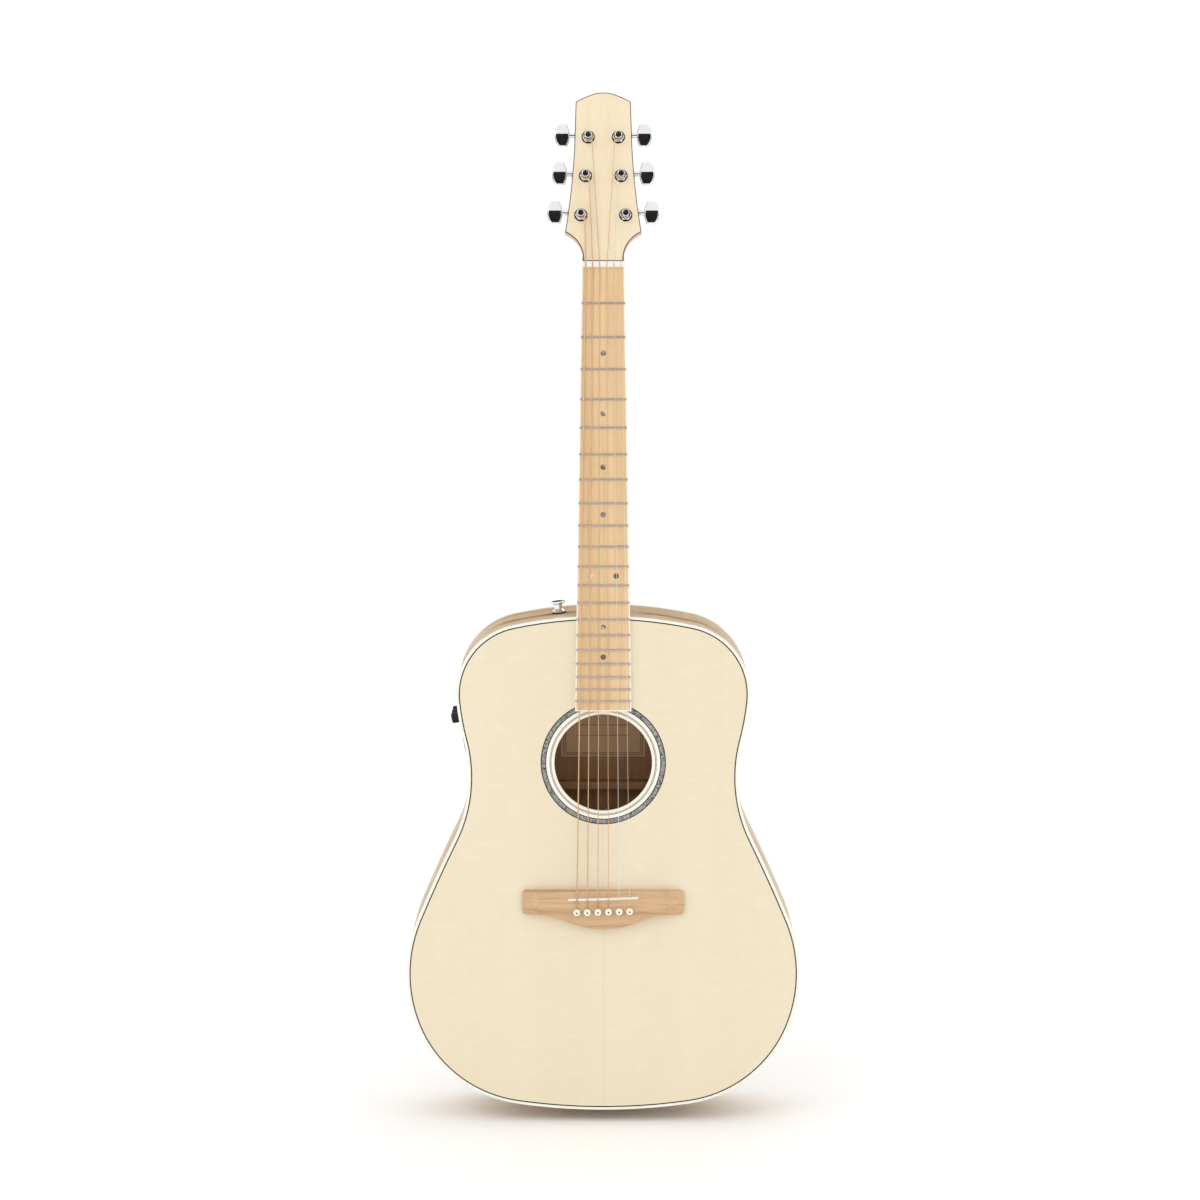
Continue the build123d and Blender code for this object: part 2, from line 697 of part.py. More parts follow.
def back_braces():
    inside = back_ball(BACK_THICK)
    zone = brace_zone()
    parts = []
    for z in BACK_BRACE_Z:
        high = 14.0 if z > -600 else 10.0
        wide = 8.0 if z > -600 else 14.0
        beam = box((-190, 60, z - wide / 2), (190, 160, z + wide / 2)) & inside & zone
        parts.append(beam - back_ball(BACK_THICK + high))
    strip_ends = [BODY_TOP - BLOCK_LONG - 1] + BACK_BRACE_Z + [BODY_FOOT + SIDE_THICK + TAIL_LONG + 1]
    halves = [0] + [4 if z > -600 else 7 for z in BACK_BRACE_Z] + [0]
    for index in range(len(strip_ends) - 1):
        top = strip_ends[index] - halves[index]
        foot = strip_ends[index + 1] + halves[index + 1]
        if index == 1:
            continue
        strip = box((-9, 60, foot), (9, 160, top)) & inside
        parts.append(strip - back_ball(BACK_THICK + 2.5))
    return group(parts)


def label():
    """Blank paper label glued inside the back, under the soundhole."""
    sheet = box((-44, 60, -517), (44, 160, -440)) & back_ball(BACK_THICK)
    return sheet - back_ball(BACK_THICK + 0.2)


# ---- rosette ----------------------------------------------------------------------------------
def rosette_rings():
    return group([front_ring(a, b, FACE, FACE + ROSETTE_DEEP) for a, b in RING_EDGES])


def rosette_abalone():
    return front_ring(*ABALONE, FACE, FACE + ROSETTE_DEEP)


# ---- bridge -----------------------------------------------------------------------------------
BRIDGE_TOP_Z = -637.4
BRIDGE_HALF = 82.5
BRIDGE_TALL = 40.0          # height at the belly
BELLY_RADIUS = 92.0
SWEEP_RADIUS = 75.0         # hollow curve between the belly and a wing
SWEEP_TURN = 24.4


def bridge_outline():
    """Plan of the bridge: straight top edge, and a belly below that sweeps in to the wings."""
    def at(x, down):
        return Vector(x, 0, BRIDGE_TOP_Z - down)

    def belly(turn):
        return at(BELLY_RADIUS * sin(turn), BRIDGE_TALL - BELLY_RADIUS * (1 - cos(turn)))

    turn = radians(SWEEP_TURN)
    join = belly(turn)
    hub = join + Vector(SWEEP_RADIUS * sin(turn), 0, -SWEEP_RADIUS * cos(turn))
    middle = hub + Vector(-SWEEP_RADIUS * sin(turn / 2), 0, SWEEP_RADIUS * cos(turn / 2))
    level = hub + Vector(0, 0, SWEEP_RADIUS)
    wing = BRIDGE_TOP_Z - level.Z
    right = [
        ThreePointArc(join, middle, level),
        Line(level, at(BRIDGE_HALF, wing)),
        ThreePointArc(at(BRIDGE_HALF, wing), at(BRIDGE_HALF + 0.6, wing / 2), at(BRIDGE_HALF, 0)),
    ]
    middle_edges = [
        ThreePointArc(belly(-turn), belly(0), join),
        Line(at(BRIDGE_HALF, 0), at(-BRIDGE_HALF, 0)),
    ]
    face = Face(Wire(right + mirrored(right) + middle_edges))
    ends = [corner for corner in face.vertices() if abs(corner.X) > BRIDGE_HALF - 0.1]
    return face.fillet_2d(3.6, ends)


def pin_shank(index, grow=0.0):
    x, z = pin_place(index)
    return rod((x, FACE - BRIDGE_THICK, z), (x, FACE + TOP_THICK + 7.5, z), PIN_RADIUS + grow)


STRING_ROOM = 0.1           # clear space round a string in its notch


def string_ways():
    """Holes for the pins with a notch for each string."""
    ways = []
    for index in range(6):
        x, z = pin_place(index)
        ways.append(rod((x, FACE - 30, z), (x, FACE + 30, z), PIN_RADIUS + 0.02))
        ways.append(string_tube(index, STRING_ROOM, 12.0))
    return ways


def saddle_block(grow, low, high, length=SADDLE_LONG):
    """Compensated saddle: it slants so that the bass strings are longer."""
    slope = degrees(atan2(SADDLE_TREBLE_Z - SADDLE_BASS_Z, SADDLE_LONG))
    middle = (SADDLE_BASS_Z + SADDLE_TREBLE_Z) / 2
    block = Box(length + 2 * grow, high - low, SADDLE_THICK + 2 * grow)
    return Pos(0, (low + high) / 2, middle) * Rot(0, -slope, 0) * block


SLOT_FOOT = FACE - 3.0      # bottom of the saddle slot
PICKUP_THICK = 1.2


def bridge():
    face = bridge_outline()
    block = Pos(0, FACE - BRIDGE_THICK, 0) * Solid.extrude(face, Vector(0, BRIDGE_THICK, 0))
    crest = block.edges().group_by(Axis.Y)[0]
    block = fillet(crest, 1.0)
    for sign in (-1, 1):
        scoop = rod((sign * 82, FACE - 38.5, -600), (sign * 82, FACE - 38.5, -700), 34.5)
        block = block - scoop
    block = block - saddle_block(0.02, FACE - BRIDGE_THICK - 5, SLOT_FOOT)
    return largest(block - string_ways())


def saddle():
    tall = saddle_block(0.0, SADDLE_TOP - 2, SLOT_FOOT - PICKUP_THICK)
    dome = Pos(0, SADDLE_TOP + CROWN, -640) * Cylinder(CROWN, 60)
    piece = tall & dome
    crest = piece.edges().filter_by(lambda edge: edge.center().Y < -2.5 and edge.length > 50)
    return fillet(crest, 1.0)


def saddle_pickup():
    return saddle_block(-0.1, SLOT_FOOT - PICKUP_THICK, SLOT_FOOT, SADDLE_LONG - 1)


def bridge_pins():
    pins = []
    for index in range(6):
        x, z = pin_place(index)
        top = FACE - BRIDGE_THICK
        shank = pin_shank(index)
        collar = rod((x, top - 1.4, z), (x, top, z), PIN_HEAD - 0.6)
        head = Pos(x, top - 1.3, z) * Sphere(PIN_HEAD)
        head = head & box((x - 5, top - 4.2, z - 5), (x + 5, top - 1.3, z + 5))
        pin = shank + collar + head - string_tube(index, STRING_ROOM, 12.0)
        pins.append(largest(pin - ball_end(index, STRING_ROOM)))
    return group(pins)


# ---- tuning machines --------------------------------------------------------------------------
# Each machine is built about its post: u outwards to the button, v up the headstock, n to the front.
HOUSING_DEEP = 12.5
WHEEL_N = -HEAD_THICK - 6.2     # height of the worm wheel's middle plane
WHEEL_WIDE = 3.6
SHAFT_RADIUS = 2.0
SCREW_U = -5.0                  # the machine's screw, from its post
SCREW_V = -11.0
WASHER_THICK = 0.9
POST_HIGH = 13.2


def placed(index, shape):
    """Put a machine's piece on the headstock, mirrored on the bass side."""
    x, rise = post_place(index)
    if x < 0:
        shape = mirror(shape, Plane.YZ)
    return HEAD * (Pos(x, rise, 0) * shape)


def tuner_screw_holes():
    holes = []
    for index in range(6):
        x, rise = post_place(index)
        sign = 1 if x > 0 else -1
        holes.append(Pos(x + sign * SCREW_U, rise + SCREW_V, -HEAD_THICK) * Cylinder(0.9, 18))
    return holes


def housing():
    """Die-cast tub, open to the rear, with an ear for its screw and a collar for the worm shaft."""
    deep = HOUSING_DEEP - 1.2
    tub = Pos(0.5, 2.2, -HEAD_THICK - deep / 2) * Box(18.4, 20.6, deep)
    tub = fillet(tub.edges().filter_by(Axis.Z), 3.0)
    ear = Pos(SCREW_U, SCREW_V, -HEAD_THICK - 1.0) * Cylinder(3.4, 2.0)
    web = Pos(SCREW_U, -8.5, -HEAD_THICK - 1.0) * Box(6.8, 5.0, 2.0)
    collar = rod((9.0, WORM_RISE, WHEEL_N), (14.5, WORM_RISE, WHEEL_N), 3.6)
    tub = tub + ear + web + collar
    cavity = Pos(0.2, 2.0, -HEAD_THICK - 1.6 - 10) * Box(14.8, 17.4, 20)
    cavity = fillet(cavity.edges().filter_by(Axis.Z), 2.0)
    bores = [
        Pos(0, 0, -HEAD_THICK) * Cylinder(POST_RADIUS + 0.05, 12),
        rod((5, WORM_RISE, WHEEL_N), (20, WORM_RISE, WHEEL_N), SHAFT_RADIUS + 0.05),
        Pos(SCREW_U, SCREW_V, -HEAD_THICK) * Cylinder(1.3, 20),
    ]
    return tub - cavity - bores


def housing_cover():
    cover = Pos(0.5, 2.2, -HEAD_THICK - HOUSING_DEEP + 0.6) * Box(18.4, 20.6, 1.2)
    cover = fillet(cover.edges().filter_by(Axis.Z), 3.0)
    rear = cover.edges().group_by(Axis.Z)[0]
    return fillet(rear, 0.9)


def tuner_housings():
    return group([placed(index, piece) for index in range(6) for piece in (housing(), housing_cover())])


def bushing():
    """Hexagon bushing that screws down the post hole from the front, over its washer."""
    sleeve = Pos(0, 0, WASHER_THICK) * Cylinder(BUSHING_RADIUS - 0.02, 11.0, align=BASE_MAX)
    hexagon = Pos(0, 0, WASHER_THICK) * extrude(RegularPolygon(5.9, 6), amount=3.4)
    cone = Pos(0, 0, WASHER_THICK) * Cone(6.9, 4.6, 3.4, align=BASE_MIN)
    hexagon = hexagon & cone
    bore = Cylinder(POST_RADIUS + 0.05, 60)
    washer = Cylinder(6.65, WASHER_THICK, align=BASE_MIN) - Cylinder(BUSHING_RADIUS, 4)
    return [(sleeve + hexagon) - bore, washer]


def tuner_bushings():
    return group([placed(index, piece) for index in range(6) for piece in bushing()])


def screw():
    head = Pos(0, 0, -HEAD_THICK - 2.0) * Cone(1.4, 2.5, 1.2, align=BASE_MAX)
    shank = Pos(0, 0, -HEAD_THICK - 2.0) * Cylinder(0.85, 9, align=BASE_MIN)
    slot = Pos(0, 0, -HEAD_THICK - 3.2) * (Box(3.2, 0.6, 1.0) + Box(0.6, 3.2, 1.0))
    return Pos(SCREW_U, SCREW_V, 0) * (head + shank - slot)


def tuner_screws():
    return group([placed(index, screw()) for index in range(6)])


def worm_key():
    """Worm shaft with its single-start thread, and the button that is pinned on its outer end."""
    pitch = pi * WORM_MODULE
    core = rod((-5.5, WORM_RISE, WHEEL_N), (6.6, WORM_RISE, WHEEL_N), 1.35)
    shaft = rod((6.4, WORM_RISE, WHEEL_N), (20.0, WORM_RISE, WHEEL_N), SHAFT_RADIUS)
    collar = rod((14.8, WORM_RISE, WHEEL_N), (19.0, WORM_RISE, WHEEL_N), 2.9)
    helix = Helix(pitch, 4 * pitch, 1.3)
    tooth = Plane(origin=(1.3, 0, 0), x_dir=(1, 0, 0), z_dir=(0, 1, 0))
    corners = [(-0.15, -0.5), (1.35, -0.18), (1.35, 0.18), (-0.15, 0.5)]
    profile = tooth * make_face(Polyline(*corners, close=True))
    thread = sweep(profile, path=helix, is_frenet=True)
    thread = Plane(origin=(-2 * pitch, WORM_RISE, WHEEL_N), x_dir=(0, -1, 0), z_dir=(1, 0, 0)) * thread
    return core + shaft + collar + thread


BUTTON_LONG = 15.0
BUTTON_TALL = 23.5
BUTTON_THICK = 8.6
BUTTON_INNER = 19.0
BUTTON_CROWN = 34.0             # radius of the button's bowed front and rear faces


def button():
    """Keystone button: straight inner flanks, a bowed outer edge, faces bowed from top to foot."""
    half = BUTTON_TALL / 2
    inner = BUTTON_INNER
    outer = inner + BUTTON_LONG
    corners = [(inner, 4.0), (inner + 2.6, half), (outer - 4.4, half), (outer - 1.9, half - 3.6)]
    flank = Polyline(*corners)
    bow = ThreePointArc(corners[-1], (outer, 0), (outer - 1.9, 3.6 - half))
    other = Polyline(*[(u, -v) for u, v in reversed(corners)])
    root = Line((inner, -corners[0][1]), corners[0])
    face = make_face(flank.edges() + bow.edges() + other.edges() + root.edges())
    face = fillet(face.vertices(), 1.6)
    slab = Pos(0, 0, -BUTTON_THICK) * extrude(face, amount=2 * BUTTON_THICK)
    rise = BUTTON_CROWN - BUTTON_THICK / 2
    for sign in (-1, 1):
        slab = slab & rod((0, 0, sign * rise), (60, 0, sign * rise), BUTTON_CROWN)
    rims = [edge for edge in slab.edges() if edge not in slab.edges().filter_by(Axis.Z)]
    slab = fillet(rims, 1.3)
    slab = Pos(0, WORM_RISE, WHEEL_N) * slab
    return slab - rod((10, WORM_RISE, WHEEL_N), (20.0, WORM_RISE, WHEEL_N), SHAFT_RADIUS)


def tuner_key(index):
    return group([placed(index, worm_key()), placed(index, button())])


def wheel():
    """Worm wheel with straight teeth, thinned so that the worm's thread runs free in them."""
    pitch_radius = WORM_MODULE * WHEEL_TEETH / 2
    blank = Pos(0, 0, WHEEL_N) * Cylinder(pitch_radius - 0.95, WHEEL_WIDE)
    width = 0.42 * pi * WORM_MODULE
    root, tip = pitch_radius - 1.3, pitch_radius + 0.45
    tooth = [(root, -width * 0.62), (tip, -width * 0.22), (tip, width * 0.22), (root, width * 0.62)]
    made = blank
    for count in range(WHEEL_TEETH):
        shape = extrude(make_face(Polyline(*tooth, close=True)), amount=WHEEL_WIDE)
        turn = 90.0 + 360.0 * (count + 0.5) / WHEEL_TEETH
        made = made + Rot(0, 0, turn) * (Pos(0, 0, WHEEL_N - WHEEL_WIDE / 2) * shape)
    square = Pos(0, 0, WHEEL_N) * Box(3.2, 3.2, 20)
    return made - square


def post():
    """String post: waisted where the string winds, holed through, squared for its wheel."""
    low = -HEAD_THICK - 1.7
    body = Pos(0, 0, low) * Cylinder(POST_RADIUS, POST_HIGH - low, align=BASE_MIN)
    body = body + Pos(0, 0, POST_HIGH - 3.2) * Cylinder(3.6, 3.2, align=BASE_MIN)
    body = fillet(body.edges().group_by(Axis.Z)[-1], 0.7)
    body = body - rod((-8, 0, 8.4), (8, 0, 8.4), 1.0)
    recess = Pos(0, 0, POST_HIGH) * Cylinder(1.6, 1.6)
    stub = Pos(0, 0, low) * Box(3.2, 3.2, 7.6, align=BASE_MAX)
    return body - recess + stub


def tuner_post(index):
    return group([placed(index, post()), placed(index, wheel())])


# ---- strap button and jack --------------------------------------------------------------------
STRAP_X = -45.5
STRAP_Y = 45.0
STRAP_HEAD = 7.5
STRAP_STEM = 4.4
STRAP_HIGH = 11.0
FELT_THICK = 1.6


def strap_frame():
    """Seat of the strap button on the bass shoulder, its z along the button."""
    radius = OUTLINE[0][0]
    lean = asin(STRAP_X / radius)
    z = BODY_TOP - radius * (1 - cos(lean))
    return Plane(origin=(STRAP_X, STRAP_Y, z), x_dir=(0, 1, 0), z_dir=(sin(lean), 0, cos(lean)))


def strap_button_upper():
    """Turned button held by a countersunk wood screw."""
    profile = [
        (0, 0), (7.0, 0), (7.0, 1.2), (5.4, 2.4), (STRAP_STEM, 3.4), (STRAP_STEM, 7.6),
        (5.6, 8.6), (STRAP_HEAD, 9.4), (STRAP_HEAD, 10.4), (6.4, STRAP_HIGH), (0, STRAP_HIGH),
    ]
    face = Plane.XZ * make_face(Polyline(*profile, close=True))
    turned = Pos(0, 0, FELT_THICK) * revolve(face, Axis.Z)
    hole = Pos(0, 0, FELT_THICK) * Cylinder(1.6, 60)
    crest = FELT_THICK + STRAP_HIGH
    seat = Pos(0, 0, crest) * Cone(1.6, 3.6, 2.0, align=BASE_MAX)
    screw_head = seat - Pos(0, 0, crest) * (Box(4.6, 0.9, 1.6) + Box(0.9, 4.6, 1.6))
    shank = Pos(0, 0, crest - 1.9) * Cylinder(1.6, 28, align=BASE_MAX)
    return group([strap_frame() * (turned - hole - seat), strap_frame() * (screw_head + shank)])


def strap_button_felt():
    washer = Cylinder(7.6, FELT_THICK + 1.0, align=BASE_MAX) - Cylinder(1.7, 60)
    washer = strap_frame() * (Pos(0, 0, FELT_THICK) * washer)
    return washer - body_slab(0.0, FACE, 160)


JACK_Y = 65.0
JACK_RADIUS = 6.0
JACK_BORE = 3.25
JACK_DEEP = 25.0


def endpin_jack():
    """Strap endpin that is also the output jack, clamped through the tail block by its nut."""
    low = BODY_FOOT
    profile = [
        (0, 0), (8.0, 0), (8.0, -1.6), (6.2, -2.8), (5.6, -4.0), (5.6, -8.6),
        (6.4, -9.8), (7.4, -10.6), (7.4, -11.8), (6.4, -12.6), (0, -12.6),
    ]
    face = Plane.XZ * make_face(Polyline(*profile, close=True))
    cap = Pos(0, JACK_Y, low) * revolve(face, Axis.Z)
    barrel = rod((0, JACK_Y, low - 1), (0, JACK_Y, low + 42), JACK_RADIUS)
    bore = rod((0, JACK_Y, low - 20), (0, JACK_Y, low - 12.6 + JACK_DEEP), JACK_BORE)
    inside = low + SIDE_THICK + TAIL_LONG
    nut_ring = Pos(0, JACK_Y, inside) * extrude(RegularPolygon(9.5, 6), amount=4.0)
    nut_ring = nut_ring - rod((0, JACK_Y, low), (0, JACK_Y, low + 60), JACK_RADIUS)
    return group([cap + barrel - bore, nut_ring])


# ---- preamp -----------------------------------------------------------------------------------
PLUG_WIDE = 65.8
PLUG_TALL = 42.6


def panel_plane():
    """Panel's own frame: x towards the soundboard, y up the side, z out of the side."""
    top = Vector(-outline_half_width(PANEL_TOP_Z), PANEL_Y, PANEL_TOP_Z)
    foot = Vector(-outline_half_width(PANEL_FOOT_Z), PANEL_Y, PANEL_FOOT_Z)
    up = (top - foot).normalized()
    return Plane(origin=(top + foot) * 0.5, x_dir=(0, -1, 0), z_dir=Vector(0, -1, 0).cross(up))


PANEL = panel_plane()
PANEL_TALL = 49.0
DOOR_A = -15.5
DOOR_B = -10.6
DOOR_WIDE = 29.4
DOOR_TALL = 20.0
DOOR_LOW = -0.2
WELL_B = DOOR_B + 0.2           # battery well behind the door
WELL_WIDE = 26.9
WELL_TALL = 18.1
DISPLAY = (17.5, -15.0)
BUTTON_AT = (17.5, -4.0)
KNOB_B = 11.5                   # row of knobs, up from the panel's middle
HINGE_B = DOOR_B - DOOR_TALL / 2 + 1.0
HINGE_N = DOOR_LOW + 1.0


def panel_block(wide, tall, low, high, a=0.0, b=0.0):
    """Block in the panel's frame, centred at (a, b), from depth low to height high."""
    return PANEL * (Pos(a, b, (low + high) / 2) * Box(wide, tall, high - low))


def preamp_panel():
    plate = Pos(0, 0, (PANEL_PROUD - 4.0) / 2) * Box(PANEL_WIDE, PANEL_TALL, PANEL_PROUD + 4.0)
    plate = fillet(plate.edges().filter_by(Axis.Z), 4.0)
    plate = fillet(plate.edges().group_by(Axis.Z)[-1], 0.8)
    flange = (PANEL * plate) - body_slab(0.0, FACE, 160)
    plug = panel_block(PLUG_WIDE, PLUG_TALL, -4.0, PANEL_PROUD - 0.5)
    made = flange + plug
    made = made - panel_block(30.0, 20.6, DOOR_LOW - 0.1, 5, DOOR_A, DOOR_B)
    made = made - panel_block(WELL_WIDE, WELL_TALL, -10, 5, DOOR_A, WELL_B)
    hinge = Pos(DOOR_A, HINGE_B, HINGE_N) * Rot(0, 90, 0) * Cylinder(0.75, DOOR_WIDE + 3.4)
    made = made - PANEL * hinge
    made = made - panel_block(22.0, 9.0, 0.6, 5, *DISPLAY)
    made = made - panel_block(7.2, 4.2, -10, 5, *BUTTON_AT)
    for place in KNOB_OFFSETS.values():
        made = made - PANEL * (Pos(place, KNOB_B, 0) * Cylinder(3.05, 20))
    return made


def preamp_housing():
    tub = panel_block(62.0, 40.0, -24.0, -4.0) - panel_block(59.0, 37.0, -22.5, -3.0)
    sleeve = panel_block(29.3, 20.5, -58.0, -4.0, DOOR_A, WELL_B)
    made = tub + sleeve
    return made - panel_block(WELL_WIDE, WELL_TALL, -56.5, -3.0, DOOR_A, WELL_B)


def preamp_board():
    board = panel_block(58.6, 36.6, -18.0, -16.4) - panel_block(30.0, 21.2, -60, 0, DOOR_A, WELL_B)
    for place in KNOB_OFFSETS.values():
        pot = Pos(place, KNOB_B, -16.4) * Cylinder(4.8, 7.0, align=BASE_MIN)
        pot = pot - Pos(place, KNOB_B, -9.4) * Cylinder(3.05, 8.0)
        board = board + PANEL * pot
    return board


def knob(place):
    """Fluted knob on its shaft, with a pointer groove."""
    cap = Cone(5.7, 5.2, 7.6, align=BASE_MIN)
    cap = chamfer(cap.edges().group_by(Axis.Z)[-1], 0.7)
    for count in range(15):
        turn = radians(360.0 * (count + 0.5) / 15)
        cap = cap - Pos(6.15 * cos(turn), 6.15 * sin(turn), 5.2) * Cylinder(0.9, 6.0)
    cap = cap - Pos(0, 3.6, 7.6) * Box(0.7, 4.6, 1.0)
    shaft = Pos(0, 0, 0.1) * Cylinder(3.0, 14.6, align=BASE_MAX)
    return PANEL * (Pos(place, KNOB_B, PANEL_PROUD + 0.3) * (cap + shaft))


def tuner_display():
    return panel_block(21.9, 8.9, 0.6, PANEL_PROUD - 0.1, *DISPLAY)


def tuner_button():
    stem = Pos(*BUTTON_AT, -1.5) * Box(6.6, 3.6, 8.4)
    stem = fillet(stem.edges().group_by(Axis.Z)[-1], 0.4)
    return PANEL * stem


def battery_door():
    """Door over the battery, turning on two stub pins at its lower edge."""
    plate = Pos(DOOR_A, DOOR_B, DOOR_LOW + 1.0) * Box(DOOR_WIDE, DOOR_TALL, 2.0)
    lower = plate.edges().filter_by(Axis.X).group_by(Axis.Y)[0]
    plate = fillet(lower, 0.98)
    pins = Pos(DOOR_A, HINGE_B, HINGE_N) * Rot(0, 90, 0) * Cylinder(0.7, DOOR_WIDE + 2.8)
    notch = Pos(DOOR_A, DOOR_B + DOOR_TALL / 2, PANEL_PROUD) * Rot(0, 90, 0) * Cylinder(0.9, 9.0)
    return PANEL * (plate + pins - notch)


def battery():
    """Nine-volt block with its two terminals at the inner end."""
    block = Pos(DOOR_A, WELL_B, -29.0) * Box(26.2, 17.4, 46.0)
    block = fillet(block.edges().filter_by(Axis.Z), 1.5)
    near = Pos(DOOR_A - 6.4, WELL_B, -52.0) * Cylinder(4.0, 2.6, align=BASE_MAX)
    far = Pos(DOOR_A + 6.4, WELL_B, -52.0) * Cylinder(3.2, 2.6, align=BASE_MAX)
    return PANEL * (block + near + far)


# ---- build ------------------------------------------------------------------------------------
def build():
    save("soundboard", soundboard())
    save("back_plate", back_plate())
    save("side_bass", side(-1))
    save("side_treble", side(1))
    save("top_binding", top_binding())
    save("top_purfling", top_purfling())
    save("back_binding", back_binding())
    save("rosette_rings", rosette_rings())
    save("rosette_abalone", rosette_abalone())
    save("neck_block", neck_block())
    save("tail_block", tail_block())
    save("linings", linings())
    save("top_braces", clear_bars())
    save("bridge_plate", bridge_plate())
    save("back_braces", back_braces())
    save("label", label())
    save("bridge", bridge())
    save("saddle", saddle())
    save("bridge_pins", bridge_pins())
    save("saddle_pickup", saddle_pickup())
    save("fretboard", fretboard())
    save("fretboard_binding", fretboard_binding())
    save("frets", frets())
    save("position_markers", group(front_dots() + side_dots()))
    save("nut", nut())
    save("neck", neck())
    save("truss_rod", truss_rod())
    save("heel_cap", heel_cap())
    save("headstock_veneer", headstock_veneer())
    save("headstock_binding", headstock_binding())
    save("strings_wound", strings(range(4)))
    save("strings_plain", strings(range(4, 6)))
    save("tuner_housings", tuner_housings())
    save("tuner_bushings", tuner_bushings())
    save("tuner_screws", tuner_screws())
    for index in range(6):
        save("tuner_key_" + str(index + 1), tuner_key(index))
        save("tuner_post_" + str(index + 1), tuner_post(index))
    save("strap_button_upper", strap_button_upper())
    save("strap_button_felt", strap_button_felt())
    save("endpin_jack", endpin_jack())
    save("preamp_panel", preamp_panel())
    save("preamp_housing", preamp_housing())
    save("preamp_board", preamp_board())
    for name, place in KNOB_OFFSETS.items():
        save(name, knob(place))
    save("tuner_display", tuner_display())
    save("tuner_button", tuner_button())
    save("battery_door", battery_door())
    save("battery", battery())


build()
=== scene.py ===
import math

import bmesh
import bpy
from mathutils import Matrix, Vector


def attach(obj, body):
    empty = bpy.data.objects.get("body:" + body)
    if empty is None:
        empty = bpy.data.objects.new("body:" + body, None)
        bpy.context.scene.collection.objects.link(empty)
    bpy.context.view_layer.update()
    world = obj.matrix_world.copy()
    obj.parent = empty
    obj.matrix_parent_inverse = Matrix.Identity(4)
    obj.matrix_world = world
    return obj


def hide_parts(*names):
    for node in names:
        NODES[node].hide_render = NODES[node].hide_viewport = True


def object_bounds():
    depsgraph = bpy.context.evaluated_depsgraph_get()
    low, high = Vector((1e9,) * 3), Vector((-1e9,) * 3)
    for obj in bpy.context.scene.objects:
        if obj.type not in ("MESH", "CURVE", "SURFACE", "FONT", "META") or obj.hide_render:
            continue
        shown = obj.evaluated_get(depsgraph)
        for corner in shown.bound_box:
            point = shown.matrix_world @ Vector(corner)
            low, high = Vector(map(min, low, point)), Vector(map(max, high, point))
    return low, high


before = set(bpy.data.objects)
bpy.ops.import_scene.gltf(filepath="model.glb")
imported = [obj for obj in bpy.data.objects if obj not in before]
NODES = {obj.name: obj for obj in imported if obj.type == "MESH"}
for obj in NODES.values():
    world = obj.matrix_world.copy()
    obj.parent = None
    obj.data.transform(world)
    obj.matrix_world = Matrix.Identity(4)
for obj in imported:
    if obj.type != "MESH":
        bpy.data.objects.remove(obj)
CAD_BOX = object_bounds()
MM = 0.001

# Places that the strings, pins and tuners share with the CAD model, in millimetres.
SOUNDHOLE_Z = -505.0
NUT_SPREAD = 35.3
PIN_SPACING = 10.85
PIN_Z = (-659.5, -658.2)
SADDLE_Z = (-646.4, -644.2)
CROWN = 400.0
STRING_DIAMETERS = (1.35, 1.07, 0.81, 0.61, 0.41, 0.31)
WOUND_STRINGS = (0, 1, 2, 3)
PLAIN_STRINGS = (4, 5)
POST_PLACES = ((22.5, 53.0), (17.9, 93.2), (15.2, 132.9))
POST_RADIUS = 3.0
WIND_HEIGHT = 5.6
HEAD_TILT = math.radians(14.0)
PIN_HOLE_BELOW = 2.9            # string's hole, below the pin's centre
STRING_FOOT_Y = 4.0             # where a string starts under its pin
STRING_EXIT_Y = -1.9            # where it leaves the bridge
SADDLE_CREST_Y = -5.12
NUT_SLOT_Y = -1.45
NUT_MIDDLE_Z = 1.6
POST_CLEARANCE = 0.1
BEND_REACH = 1.2                # how close to a contact point a string's bend begins


